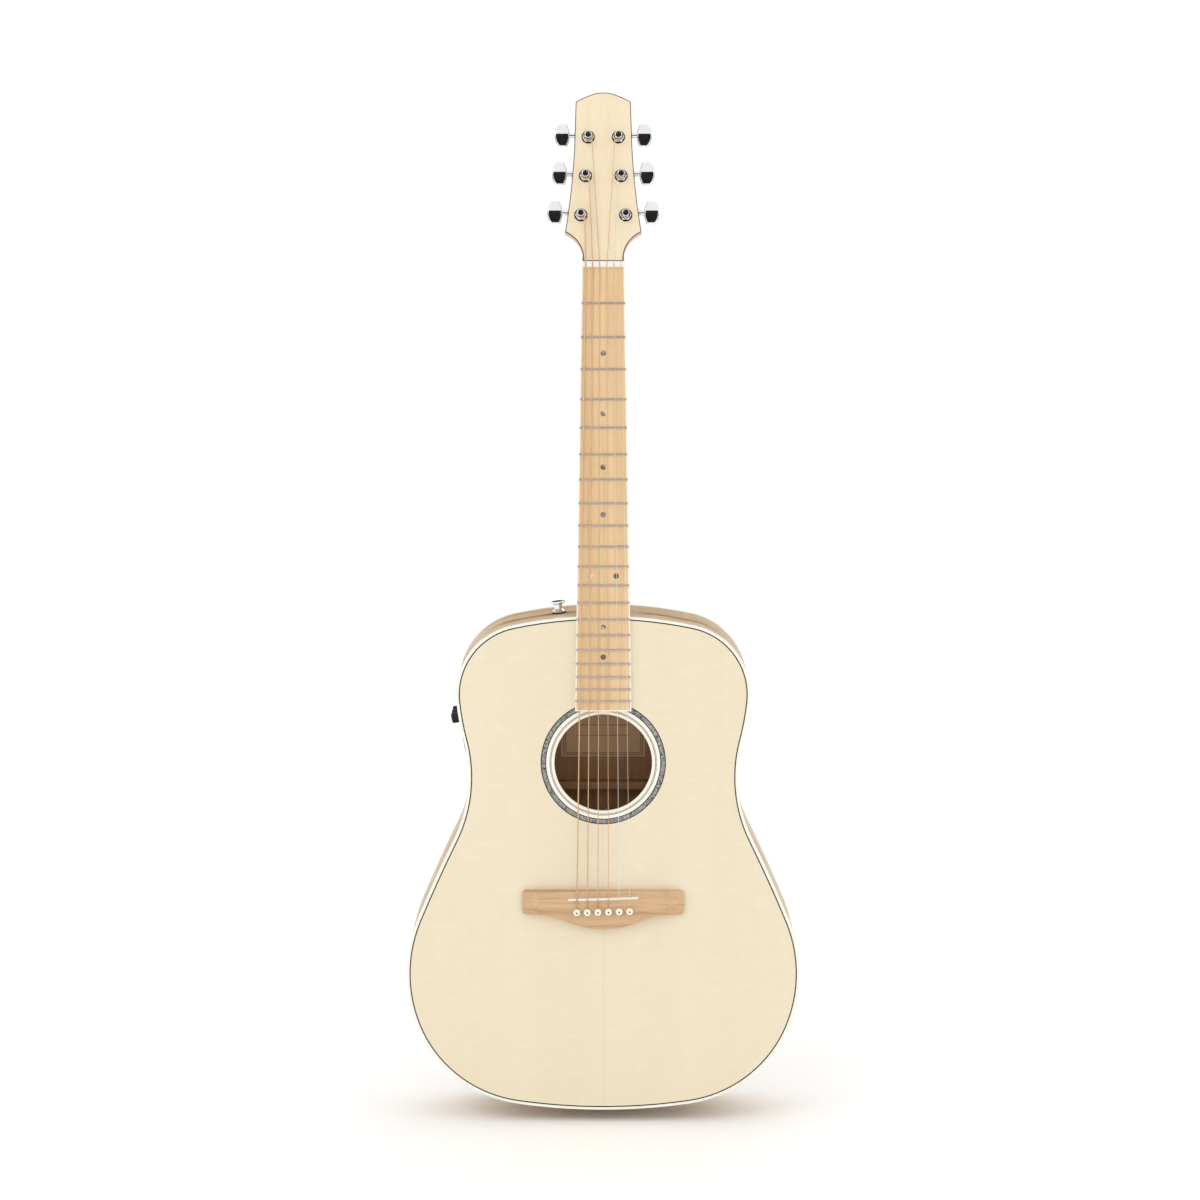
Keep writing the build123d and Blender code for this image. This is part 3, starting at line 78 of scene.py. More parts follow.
# ---- material graphs ----------------------------------------------------------------------------
class Graph:
    """One procedural material, written as calls that return sockets."""

    def __init__(self, name):
        self.material = bpy.data.materials.new(name)
        self.material.use_nodes = True
        self.tree = self.material.node_tree
        self.shader = self.tree.nodes["Principled BSDF"]
        coordinates = self.add("ShaderNodeTexCoord")
        self.place = coordinates.outputs["Object"]
        self.facing = coordinates.outputs["Normal"]

    def add(self, kind, **settings):
        node = self.tree.nodes.new(kind)
        for key, value in settings.items():
            setattr(node, key, value)
        return node

    def plug(self, socket, value):
        if isinstance(value, bpy.types.NodeSocket):
            self.tree.links.new(value, socket)
        else:
            socket.default_value = value

    def math(self, operation, first, second=0.0, third=0.0):
        node = self.add("ShaderNodeMath", operation=operation)
        for socket, value in zip(node.inputs, (first, second, third)):
            self.plug(socket, value)
        return node.outputs[0]

    def axes(self, vector=None):
        node = self.add("ShaderNodeSeparateXYZ")
        self.plug(node.inputs[0], vector or self.place)
        return node.outputs

    def join(self, x, y, z):
        node = self.add("ShaderNodeCombineXYZ")
        for socket, value in zip(node.inputs, (x, y, z)):
            self.plug(socket, value)
        return node.outputs[0]

    def stretched(self, scale, vector=None):
        node = self.add("ShaderNodeVectorMath", operation="MULTIPLY")
        self.plug(node.inputs[0], vector or self.place)
        node.inputs[1].default_value = scale
        return node.outputs[0]

    def noise(self, vector, scale=1.0, detail=4.0, roughness=0.55, distortion=0.0):
        node = self.add("ShaderNodeTexNoise")
        self.plug(node.inputs["Vector"], vector)
        node.inputs["Scale"].default_value = scale
        node.inputs["Detail"].default_value = detail
        node.inputs["Roughness"].default_value = roughness
        node.inputs["Distortion"].default_value = distortion
        return node.outputs[0]

    def ramp(self, factor, stops, mode="LINEAR"):
        node = self.add("ShaderNodeValToRGB")
        node.color_ramp.interpolation = mode
        marks = node.color_ramp.elements
        while len(marks) < len(stops):
            marks.new(0.5)
        for mark, (position, colour) in zip(marks, stops):
            mark.position = position
            mark.color = shade(colour)
        self.plug(node.inputs[0], factor)
        return node.outputs[0]

    def plug_colour(self, socket, value):
        self.plug(socket, value if isinstance(value, bpy.types.NodeSocket) else shade(value))

    def mix(self, factor, first, second):
        node = self.add("ShaderNodeMix", data_type="RGBA")
        self.plug(node.inputs[0], factor)
        self.plug_colour(node.inputs[6], first)
        self.plug_colour(node.inputs[7], second)
        return node.outputs[2]

    def spread(self, value, low, high):
        """Value from 0 to 1 mapped to the range from low to high."""
        return self.math("MULTIPLY_ADD", value, high - low, low)

    def bump(self, height, strength, distance):
        node = self.add("ShaderNodeBump")
        node.inputs["Strength"].default_value = strength
        node.inputs["Distance"].default_value = distance
        self.plug(node.inputs["Height"], height)
        self.plug(self.shader.inputs["Normal"], node.outputs[0])

    def finish(self, colour, roughness, **constants):
        self.plug_colour(self.shader.inputs["Base Color"], colour)
        self.plug(self.shader.inputs["Roughness"], roughness)
        for key, value in constants.items():
            self.shader.inputs[key.replace("_", " ")].default_value = value
        return self.material


def shade(colour):
    """Linear colour with alpha from display values of 0 to 255."""
    if isinstance(colour, (int, float)):
        return (colour, colour, colour, 1.0)
    linear = []
    for part in colour:
        part = part / 255.0
        linear.append(part / 12.92 if part <= 0.04045 else ((part + 0.055) / 1.055) ** 2.4)
    return (*linear, 1.0)


# ---- woods --------------------------------------------------------------------------------------
def spruce_top():
    """Two halves mirrored on the centre joint, growth lines widening towards the edges."""
    g = Graph("spruce_top")
    x, _, z = g.axes()
    out = g.math("ABSOLUTE", x)
    sway = g.noise(g.stretched((5.0, 5.0, 1.6)), detail=2.0)
    out = g.math("MULTIPLY_ADD", sway, 0.012, out)
    spaced = g.math("POWER", out, 0.86)
    lines = g.math("FRACT", g.math("MULTIPLY", spaced, 560.0))
    late = g.ramp(lines, [(0.0, 0.0), (0.55, 0.10), (0.90, 1.0), (1.0, 0.0)])
    strong = g.noise(g.join(g.math("MULTIPLY", out, 90.0), 0.0, g.math("MULTIPLY", z, 1.1)), detail=3.0)
    late = g.math("MULTIPLY", late, g.spread(strong, 0.1, 1.15))
    fibre = g.noise(g.join(g.math("MULTIPLY", out, 900.0), 0.0, g.math("MULTIPLY", z, 14.0)), detail=3.0)
    silk = g.noise(g.stretched((40.0, 10.0, 150.0)), detail=3.0)
    silk = g.ramp(silk, [(0.50, 0.0), (0.72, 1.0)])
    tone = g.noise(g.stretched((14.0, 3.0, 1.4)), detail=3.0)
    colour = g.mix(tone, (235, 224, 199), (229, 215, 186))
    colour = g.mix(g.math("MULTIPLY", late, 0.42), colour, (212, 184, 142))
    colour = g.mix(g.math("MULTIPLY", fibre, 0.18), colour, (222, 200, 162))
    colour = g.mix(g.math("MULTIPLY", silk, 0.16), colour, (243, 234, 214))
    seam = g.ramp(g.math("MULTIPLY", g.math("ABSOLUTE", x), 2500.0), [(0.0, 1.0), (1.0, 0.0)])
    colour = g.mix(g.math("MULTIPLY", seam, 0.35), colour, (205, 170, 122))
    g.bump(g.math("ADD", g.math("MULTIPLY", late, -0.6), fibre), 0.12, 0.0002)
    return g.finish(colour, g.spread(fibre, 0.40, 0.52), Coat_Weight=0.18, Coat_Roughness=0.28)


def long_grain(name, across, light, dark, streak, streak_share=0.35, pore=0.0, figure=0.0,
               roughness=(0.38, 0.5), coat=0.2, specular=0.5, mirror=False, inside=None, heart=None):
    """Plain-sawn wood. Across is how fast the grain changes along x, y and z."""
    g = Graph(name)
    place = g.place
    if mirror:
        x, y, z = g.axes()
        place = g.join(g.math("ABSOLUTE", x), y, z)
    bend = g.noise(g.stretched((3.0, 3.0, 3.0), place), detail=2.0)
    node = g.add("ShaderNodeVectorMath", operation="MULTIPLY_ADD")
    g.plug(node.inputs[0], g.join(bend, bend, bend))
    node.inputs[1].default_value = (0.012, 0.012, 0.012)
    g.plug(node.inputs[2], place)
    bent = node.outputs[0]
    broad = g.noise(g.stretched([a * 0.22 for a in across], bent), detail=3.0, roughness=0.6)
    bands = g.noise(g.stretched(across, bent), detail=5.0, roughness=0.62)
    threads = g.noise(g.stretched([a * 6.0 for a in across], bent), detail=3.0)
    colour = g.mix(g.ramp(broad, [(0.30, 0.0), (0.72, 1.0)]), light, dark)
    marks = g.ramp(bands, [(0.48, 0.0), (0.66, 1.0)])
    colour = g.mix(g.math("MULTIPLY", marks, streak_share), colour, streak)
    colour = g.mix(g.math("MULTIPLY", g.ramp(threads, [(0.42, 0.0), (0.75, 1.0)]), 0.22), colour, streak)
    height = threads
    if figure:
        waves = g.noise(g.stretched([figure * (3.0 if a < 20 else 0.25) for a in across], bent), detail=2.0)
        colour = g.mix(g.math("MULTIPLY", g.ramp(waves, [(0.40, 0.0), (0.68, 1.0)]), 0.20), colour,
                       tuple(min(255, c + 16) for c in light))
    if pore:
        flecks = g.noise(g.stretched([a * 9.0 if a > 20 else a * 3.2 for a in across], bent), detail=1.0)
        flecks = g.ramp(flecks, [(0.66, 0.0), (0.72, 1.0)])
        colour = g.mix(g.math("MULTIPLY", flecks, pore), colour, tuple(c * 0.62 for c in streak))
        height = g.math("SUBTRACT", threads, flecks)
    if heart:
        middle, half = heart
        drift = g.noise(g.stretched((9.0, 0.0, 9.0)), detail=3.0)
        off = g.math("SUBTRACT", g.axes()[1], g.math("MULTIPLY_ADD", drift, 0.05, middle - 0.025))
        share = g.math("DIVIDE", g.math("ABSOLUTE", off), half)
        near = g.ramp(share, [(0.0, 1.0), (0.25, 0.75), (1.0, 0.0)])
        patchy = g.ramp(g.noise(g.stretched((14.0, 60.0, 14.0)), detail=3.0), [(0.42, 0.0), (0.60, 1.0)])
        colour = g.mix(g.math("MULTIPLY", g.math("MULTIPLY", near, patchy), 0.85), colour, (122, 76, 42))
    # Inner face of the back: raw unlacquered wood tone, partly real, darkened and warmed as painted shade
    # for the inside of the body.
    if inside:
        inward = g.math("LESS_THAN", g.axes(g.facing)[1], -0.5)
        raw_and_shaded_inside = g.mix(threads, inside, tuple(c * 0.8 for c in inside))
        colour = g.mix(g.math("MULTIPLY", inward, 0.85), colour, raw_and_shaded_inside)
    g.bump(height, 0.16, 0.0002)
    return g.finish(colour, g.spread(bands, *roughness), Coat_Weight=coat, Coat_Roughness=0.25,
                    Specular_IOR_Level=specular)


def raw_wood(name, light, dark, across):
    return long_grain(name, across, light, dark, tuple(c * 0.86 for c in dark), coat=0.0,
                      roughness=(0.62, 0.8))


# ---- plastics, shell and paper -----------------------------------------------------------------
def moulded(name, light, dark, roughness, coat=0.0, grain=2200.0, depth=0.05, **extra):
    """Moulded or cut plastic: faint clouding, fine surface grain, handling marks in the gloss."""
    g = Graph(name)
    cloud = g.noise(g.stretched((24.0, 24.0, 24.0)), detail=4.0)
    speck = g.noise(g.place, scale=grain, detail=2.0)
    scuffs = g.noise(g.stretched((60.0, 60.0, 600.0)), detail=5.0, roughness=0.7)
    colour = g.mix(cloud, light, dark)
    g.bump(speck, depth, 0.0001)
    return g.finish(colour, g.spread(scuffs, *roughness), Coat_Weight=coat, Coat_Roughness=0.08, **extra)


def ivory():
    """Cream celluloid with the pale lengthwise figure of grained ivoroid."""
    g = Graph("ivory_plastic")
    cloud = g.noise(g.stretched((30.0, 90.0, 30.0)), detail=4.0)
    vein = g.noise(g.stretched((160.0, 900.0, 160.0)), detail=3.0)
    colour = g.mix(cloud, (250, 247, 238), (238, 231, 214))
    veined = g.math("MULTIPLY", g.ramp(vein, [(0.48, 0.0), (0.70, 1.0)]), 0.25)
    colour = g.mix(veined, colour, (225, 214, 190))
    g.bump(vein, 0.04, 0.0001)
    return g.finish(colour, g.spread(cloud, 0.22, 0.38), Coat_Weight=0.35, Coat_Roughness=0.12,
                    Subsurface_Weight=0.12, Subsurface_Scale=0.0015)


def ring_distance(g):
    """Distance from the soundhole's centre, in millimetres, and the angle round it."""
    x, _, z = g.axes()
    up = g.math("ADD", z, -SOUNDHOLE_Z * MM)
    away = g.math("SQRT", g.math("ADD", g.math("MULTIPLY", x, x), g.math("MULTIPLY", up, up)))
    return g.math("MULTIPLY", away, 1000.0), g.math("ARCTAN2", up, x)


RING_LOW = 49.0
RING_HIGH = 65.0


def rosette_lines():
    """Rings of cream and black plastic, told apart by their distance from the hole's centre."""
    g = Graph("rosette_lines")
    away = ring_distance(g)[0]
    share = g.math("DIVIDE", g.math("SUBTRACT", away, RING_LOW), RING_HIGH - RING_LOW)
    cream, grey, white, black = (246, 241, 226), (70, 68, 66), (214, 211, 202), (26, 25, 26)
    edges = [(RING_LOW, cream), (53.0, grey), (53.75, white), (54.45, grey), (54.9, cream), (58.2, black)]
    stops = [((edge - RING_LOW) / (RING_HIGH - RING_LOW), colour) for edge, colour in edges]
    colour = g.ramp(share, stops, "CONSTANT")
    cloud = g.noise(g.place, scale=300.0, detail=3.0)
    colour = g.mix(g.math("MULTIPLY", cloud, 0.07), colour, (150, 140, 120))
    g.bump(g.noise(g.place, scale=1800.0), 0.04, 0.0001)
    return g.finish(colour, g.spread(cloud, 0.25, 0.4), Coat_Weight=0.3, Coat_Roughness=0.15)


SHELL_PIECES = 34.0
SHELL_MIDDLE = 61.1


def abalone():
    """Ring of shell pieces butted end to end, each with its own swirl of grey, green and rose."""
    g = Graph("abalone")
    away, turn = ring_distance(g)
    count = g.math("MULTIPLY", turn, SHELL_PIECES / (2 * math.pi))
    piece = g.math("FLOOR", count)
    own = g.add("ShaderNodeTexWhiteNoise", noise_dimensions="1D")
    g.plug(own.inputs["W"], piece)
    shift = g.math("MULTIPLY", own.outputs["Value"], 40.0)
    x, _, z = g.axes()
    place = g.join(g.math("MULTIPLY_ADD", x, 260.0, shift), shift, g.math("MULTIPLY", z, 260.0))
    swirl = g.noise(place, scale=1.0, detail=5.0, roughness=0.62, distortion=2.2)
    fine = g.noise(place, scale=2.2, detail=3.0, distortion=1.6)
    colour = g.ramp(swirl, [(0.34, (16, 17, 18)), (0.43, (66, 67, 66)), (0.49, (146, 146, 142)),
                            (0.54, (208, 206, 198)), (0.59, (52, 53, 54)), (0.70, (222, 218, 208))])
    colour = g.mix(g.math("MULTIPLY", g.ramp(fine, [(0.48, 0.0), (0.62, 1.0)]), 0.55), colour, (30, 31, 32))
    joint = g.math("ABSOLUTE", g.math("SUBTRACT", g.math("FRACT", count), 0.5))
    seam = g.ramp(joint, [(0.485, 0.0), (0.497, 1.0)])
    colour = g.mix(g.math("MULTIPLY", seam, 0.7), colour, (30, 32, 34))
    off = g.math("ABSOLUTE", g.math("SUBTRACT", away, SHELL_MIDDLE))
    rim = g.ramp(g.math("MULTIPLY", off, 0.4), [(0.64, 0.0), (0.80, 1.0)])
    colour = g.mix(g.math("MULTIPLY", rim, 0.9), colour, (22, 23, 24))
    g.bump(swirl, 0.05, 0.0001)
    return g.finish(colour, g.spread(fine, 0.10, 0.24), Metallic=0.25, Coat_Weight=0.6, Coat_Roughness=0.06)


def marker_shell():
    """Grey pearl dots: each dot catches the light differently."""
    g = Graph("marker_shell")
    x, _, z = g.axes()
    cell = g.math("FLOOR", g.math("MULTIPLY", g.math("ADD", z, g.math("MULTIPLY", x, 0.8)), 55.0))
    own = g.add("ShaderNodeTexWhiteNoise", noise_dimensions="1D")
    g.plug(own.inputs["W"], cell)
    swirl = g.noise(g.place, scale=330.0, detail=4.0, distortion=1.5)
    tone = g.math("ADD", g.math("MULTIPLY", own.outputs["Value"], 0.45), g.math("MULTIPLY", swirl, 0.62))
    colour = g.ramp(tone, [(0.22, (88, 74, 62)), (0.44, (124, 106, 90)),
                           (0.60, (178, 166, 148)), (0.76, (232, 228, 216))])
    g.bump(swirl, 0.03, 0.0001)
    return g.finish(colour, g.spread(swirl, 0.12, 0.3), Metallic=0.2, Coat_Weight=0.5, Coat_Roughness=0.08)


LABEL_MIDDLE_Z = -0.4785
LABEL_HALF = (0.044, 0.0385)


def label_paper():
    """Blank printed card: a double border and three ruled lines, no words."""
    g = Graph("label_paper")
    x, _, z = g.axes()
    across = g.math("DIVIDE", g.math("ABSOLUTE", x), LABEL_HALF[0])
    up = g.math("SUBTRACT", z, LABEL_MIDDLE_Z)
    tall = g.math("DIVIDE", g.math("ABSOLUTE", up), LABEL_HALF[1])
    rim = g.math("MAXIMUM", across, tall)
    border = g.ramp(rim, [(0.0, 0.0), (0.88, 1.0), (0.90, 0.0), (0.925, 1.0), (0.95, 0.0)], "CONSTANT")
    rule = g.math("FRACT", g.math("MULTIPLY", g.math("ADD", up, 0.005), 90.0))
    rule = g.math("MULTIPLY", g.math("LESS_THAN", rule, 0.07), g.math("LESS_THAN", rim, 0.62))
    fibres = g.noise(g.place, scale=900.0, detail=4.0)
    # Warm brown paper tone with random stains: the warmth is painted light, standing in for light bounced
    # off the wood inside the body.
    stain_and_bounced_light = g.noise(g.place, scale=40.0, detail=3.0)
    colour = g.mix(stain_and_bounced_light, (255, 214, 168), (244, 196, 148))
    colour = g.mix(g.math("MULTIPLY", fibres, 0.2), colour, (176, 130, 88))
    ink = g.math("MAXIMUM", border, rule)
    colour = g.mix(g.math("MULTIPLY", ink, 0.65), colour, (96, 78, 58))
    g.bump(fibres, 0.2, 0.0001)
    return g.finish(colour, g.spread(fibres, 0.75, 0.9))


def felt():
    g = Graph("felt")
    hair = g.noise(g.place, scale=3500.0, detail=5.0, roughness=0.75, distortion=1.0)
    clump = g.noise(g.place, scale=500.0, detail=3.0)
    colour = g.mix(g.math("MULTIPLY", hair, clump), (24, 23, 24), (70, 68, 70))
    g.bump(hair, 0.7, 0.0004)
    return g.finish(colour, 0.95, Sheen_Weight=0.5, Sheen_Roughness=0.5)


# ---- metals -------------------------------------------------------------------------------------
def metal(name, colour, dark, roughness, scratch=(60.0, 60.0, 60.0), depth=0.03):
    """Polished metal with directional hairlines, and duller patches where it is handled."""
    g = Graph(name)
    patch = g.noise(g.place, scale=110.0, detail=4.0)
    hair = g.noise(g.stretched(scratch), scale=18.0, detail=4.0, roughness=0.7)
    tone = g.mix(g.math("MULTIPLY", patch, 0.6), colour, dark)
    g.bump(hair, depth, 0.00005)
    mixed = g.math("ADD", g.math("MULTIPLY", patch, 0.6), g.math("MULTIPLY", hair, 0.4))
    return g.finish(tone, g.spread(mixed, *roughness), Metallic=1.0)


WRAP_PITCH = 0.00042


def wound_string():
    """Bronze wrap wire: fine ridges round the string."""
    g = Graph("bronze_string")
    ridge = g.math("SINE", g.math("MULTIPLY", g.axes()[2], 2 * math.pi / WRAP_PITCH))
    tarnish = g.noise(g.place, scale=90.0, detail=4.0)
    colour = g.mix(tarnish, (240, 210, 172), (222, 182, 138))
    # Painted shade in the grooves between the wrap turns.
    groove_shade = g.ramp(ridge, [(0.0, 1.0), (0.5, 0.0)])
    colour = g.mix(g.math("MULTIPLY", groove_shade, 0.18), colour, (186, 142, 100))
    g.bump(ridge, 0.5, 0.0001)
    return g.finish(colour, g.spread(tarnish, 0.30, 0.45), Metallic=1.0)


def circuit_board():
    """Green solder mask with a pattern of tracks and pads."""
    g = Graph("circuit_board")
    cells = g.add("ShaderNodeTexVoronoi", feature="DISTANCE_TO_EDGE")
    g.plug(cells.inputs["Vector"], g.place)
    cells.inputs["Scale"].default_value = 260.0
    tracks = cells.outputs["Distance"]
    copper = g.ramp(tracks, [(0.04, 1.0), (0.06, 0.0)])
    colour = g.mix(g.math("MULTIPLY", copper, 0.5), (16, 74, 38), (40, 120, 66))
    g.bump(copper, 0.2, 0.0001)
    return g.finish(colour, g.spread(tracks, 0.25, 0.45), Coat_Weight=0.4, Coat_Roughness=0.2)


def display_window():
    """Smoked window over a small row of lamps."""
    g = Graph("display_window")
    dust = g.noise(g.place, scale=700.0, detail=5.0, roughness=0.7)
    cloud = g.noise(g.place, scale=60.0, detail=2.0)
    colour = g.mix(cloud, (10, 12, 15), (26, 30, 36))
    g.bump(dust, 0.02, 0.00005)
    return g.finish(colour, g.spread(dust, 0.04, 0.14), Coat_Weight=1.0, Coat_Roughness=0.03)


FINISHES = {
    "spruce_top": spruce_top(),
    "figured_side": long_grain(
        "figured_side", (5.0, 95.0, 5.0), (218, 195, 157), (198, 172, 132), (146, 108, 72),
        streak_share=0.5, figure=26.0, pore=0.25, coat=0.06, specular=0.25, heart=(0.045, 0.018)),
    "figured_back": long_grain(
        "figured_back", (95.0, 5.0, 3.0), (218, 195, 157), (198, 172, 132), (146, 108, 72),
        # inside: the inner face's raw wood tone, darkened as painted shade inside the body
        streak_share=0.5, figure=26.0, pore=0.25, coat=0.1, mirror=True, inside=(200, 138, 86)),
    "ivory_plastic": ivory(),
    "black_line": moulded("black_line", (24, 23, 24), (40, 38, 38), (0.3, 0.5), coat=0.2),
    "rosette_lines": rosette_lines(),
    "abalone": abalone(),
    "lining_wood": raw_wood("lining_wood", (176, 132, 92), (150, 108, 72), (30.0, 120.0, 30.0)),
    "brace_wood": raw_wood("brace_wood", (204, 160, 116), (180, 136, 92), (60.0, 160.0, 40.0)),
    "bridge_wood": long_grain(
        "bridge_wood", (6.0, 110.0, 210.0), (216, 180, 138), (196, 158, 116), (154, 114, 76),
        streak_share=0.55, pore=0.6, coat=0.1, roughness=(0.42, 0.56)),
    "board_wood": long_grain(
        "board_wood", (320.0, 110.0, 3.0), (235, 204, 158), (221, 185, 137), (194, 151, 103),
        streak_share=0.3, pore=0.35, coat=0.08, roughness=(0.42, 0.56)),
    "neck_wood": long_grain(
        "neck_wood", (80.0, 80.0, 2.5), (222, 186, 138), (206, 166, 118), (184, 138, 92),
        coat=0.15, roughness=(0.40, 0.52)),
    "head_veneer": long_grain(
        "head_veneer", (110.0, 60.0, 2.0), (238, 222, 192), (233, 214, 180), (222, 196, 154),
        streak_share=0.16, coat=0.2, roughness=(0.36, 0.46)),
    "bone": moulded("bone", (240, 236, 227), (226, 220, 206), (0.28, 0.45), grain=900.0,
                    Subsurface_Weight=0.15, Subsurface_Scale=0.002),
    "pickup_strip": metal("pickup_strip", (190, 170, 140), (140, 120, 92), (0.35, 0.5)),
    "fret_wire": metal("fret_wire", (206, 196, 188), (180, 169, 160), (0.26, 0.38),
                       (10.0, 90.0, 90.0), 0.012),
    "marker_shell": marker_shell(),
    "rod_steel": metal("rod_steel", (122, 122, 124), (70, 68, 66), (0.32, 0.5), (200.0, 200.0, 8.0)),
    "label_paper": label_paper(),
    "bronze_string": wound_string(),
    "steel_string": metal("steel_string", (246, 244, 240), (222, 220, 216), (0.22, 0.34),
                          (400.0, 400.0, 10.0)),
    "chrome": metal("chrome", (238, 239, 242), (218, 220, 224), (0.03, 0.10), (80.0, 80.0, 80.0), 0.015),
    "felt": felt(),
    "black_plastic": moulded("black_plastic", (18, 18, 19), (31, 31, 32), (0.38, 0.55), grain=3000.0,
                             depth=0.25, Specular_IOR_Level=0.3),
    "circuit_board": circuit_board(),
    "display_window": display_window(),
    "battery_case": moulded("battery_case", (44, 46, 52), (30, 31, 35), (0.25, 0.42), coat=0.2),
}

for node in NODES.values():
    for place, held in enumerate(node.material_slots):
        name = held.material.name.split(".")[0]
        held.material = FINISHES[name]


# ---- meshes -------------------------------------------------------------------------------------
def along(ends, index):
    return ends[0] + (ends[1] - ends[0]) * index / 5.0


def pin_place(index):
    return along((-2.5 * PIN_SPACING, 2.5 * PIN_SPACING), index), along(PIN_Z, index)


def string_x(index, z):
    at_nut = along((-NUT_SPREAD / 2, NUT_SPREAD / 2), index)
    return at_nut + (pin_place(index)[0] - at_nut) * z / along(PIN_Z, index)


def head_point(x, rise, height):
    """Point over the headstock: rise up its face from the nut, height above the face."""
    lean, up = math.sin(HEAD_TILT), math.cos(HEAD_TILT)
    return Vector((x, rise * lean - height * up, rise * up + height * lean))


def post_place(index):
    half, rise = POST_PLACES[index] if index < 3 else POST_PLACES[5 - index]
    return (-half if index < 3 else half), rise


def string_points(index):
    """Contact points of a string: under the pin, over the bridge, saddle, nut and post."""
    radius = STRING_DIAMETERS[index] / 2
    pin_x, pin_z = pin_place(index)
    hole_z = pin_z + PIN_HOLE_BELOW
    saddle_z = along(SADDLE_Z, index)
    saddle_x = string_x(index, saddle_z)
    crest = SADDLE_CREST_Y + saddle_x ** 2 / (2 * CROWN) - radius
    nut_x = string_x(index, 0.0)
    slot = NUT_SLOT_Y + nut_x ** 2 / (2 * CROWN) - radius
    post_x, rise = post_place(index)
    beside = post_x + (1 if post_x < 0 else -1) * (POST_RADIUS + radius + POST_CLEARANCE)
    return [
        Vector((pin_x, STRING_FOOT_Y, hole_z)),
        Vector((pin_x, STRING_EXIT_Y, hole_z)),
        Vector((saddle_x, crest, saddle_z)),
        Vector((nut_x, slot, NUT_MIDDLE_Z)),
        head_point(beside, rise, WIND_HEIGHT),
    ]


def curve_mesh(name, control, radius, tightness):
    """Round wire whose line bends close to its inner control points, as a mesh in metres."""
    curve = bpy.data.curves.new(name, "CURVE")
    curve.dimensions = "3D"
    curve.resolution_u = 6
    curve.bevel_depth = radius * MM
    curve.bevel_resolution = 3
    curve.use_fill_caps = True
    points = [control[0]]
    for before, middle, after in zip(control, control[1:], control[2:]):
        points.append(middle + (before - middle).normalized() * tightness)
        points.append(middle)
        points.append(middle + (after - middle).normalized() * tightness)
    points.append(control[-1])
    spline = curve.splines.new("NURBS")
    spline.points.add(len(points) - 1)
    for point, place in zip(spline.points, points):
        point.co = (*(place * MM), 1.0)
    spline.order_u = 3
    spline.use_endpoint_u = True
    holder = bpy.data.objects.new(name, curve)
    bpy.context.scene.collection.objects.link(holder)
    bpy.context.view_layer.update()
    mesh = bpy.data.meshes.new_from_object(holder.evaluated_get(bpy.context.evaluated_depsgraph_get()))
    bpy.data.objects.remove(holder)
    bpy.data.curves.remove(curve)
    return mesh


def piece(name, mesh, body, finish):
    """Object from a mesh that rides on a body, with one finish."""
    for face in mesh.polygons:
        face.use_smooth = True
    mesh.materials.clear()
    mesh.materials.append(FINISHES[finish])
    made = bpy.data.objects.new(name, mesh)
    bpy.context.scene.collection.objects.link(made)
    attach(made, body)
    return made


def joined(meshes, name):
    """One mesh from several."""
    whole = bmesh.new()
    for mesh in meshes:
        whole.from_mesh(mesh)
        bpy.data.meshes.remove(mesh)
    made = bpy.data.meshes.new(name)
    whole.to_mesh(made)
    whole.free()
    return made


for name, members, finish in (("strings_wound", WOUND_STRINGS, "bronze_string"),
                              ("strings_plain", PLAIN_STRINGS, "steel_string")):
    wires = [curve_mesh(f"{name}_{index}", string_points(index), STRING_DIAMETERS[index] / 2, BEND_REACH)
             for index in members]
    made = piece("fine_" + name, joined(wires, "fine_" + name), "guitar", finish)
    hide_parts(name)

TURNS = 3.5
STEPS_PER_TURN = 28
RING_SIDES = 8
TURN_SPACING = 1.04             # turns lie this many diameters apart


def turns_mesh(index):
    """String wound down its post, ending at the post's cross hole."""
    radius = STRING_DIAMETERS[index] / 2
    post_x, rise = post_place(index)
    side = 1 if post_x < 0 else -1
    reach = POST_RADIUS + radius + POST_CLEARANCE
    pitch = STRING_DIAMETERS[index] * TURN_SPACING
    face = Matrix((
        (1.0, 0.0, 0.0),
        (0.0, math.sin(HEAD_TILT), -math.cos(HEAD_TILT)),
        (0.0, math.cos(HEAD_TILT), math.sin(HEAD_TILT)),
    ))
    path = []
    for step in range(int(TURNS * STEPS_PER_TURN) + 1):
        turn = 2 * math.pi * step / STEPS_PER_TURN
        drop = pitch * step / STEPS_PER_TURN
        path.append(Vector((post_x + side * reach * math.cos(turn), rise + reach * math.sin(turn),
                            WIND_HEIGHT - drop)))
    made = bmesh.new()
    rings = []
    for step, centre in enumerate(path):
        before = path[max(step - 1, 0)]
        after = path[min(step + 1, len(path) - 1)]
        ahead = (after - before).normalized()
        beside = ahead.cross(Vector((0, 0, 1))).normalized()
        over = beside.cross(ahead)
        ring = []
        for corner in range(RING_SIDES):
            turn = 2 * math.pi * corner / RING_SIDES
            place = centre + (beside * math.cos(turn) + over * math.sin(turn)) * radius
            ring.append(made.verts.new((face @ place) * MM))
        rings.append(ring)
    for first, second in zip(rings, rings[1:]):
        for corner in range(RING_SIDES):
            after = (corner + 1) % RING_SIDES
            made.faces.new((first[corner], first[after], second[after], second[corner]))
    made.faces.new(rings[0])
    made.faces.new(list(reversed(rings[-1])))
    bmesh.ops.recalc_face_normals(made, faces=made.faces)
    mesh = bpy.data.meshes.new(f"string_turns_{index + 1}")
    made.to_mesh(mesh)
    made.free()
    return mesh


for index in range(6):
    finish = "bronze_string" if index in WOUND_STRINGS else "steel_string"
    piece(f"string_turns_{index + 1}", turns_mesh(index), f"post_{index + 1}", finish)

PIN_TOP_Y = -6.7
PIN_DOT_RADIUS = 1.6
PIN_DOT_SIDES = 24
PIN_DOT_RINGS = ((0.6, 0.0), (0.95, 0.02), (1.0, 0.5))      # share of the radius, depth


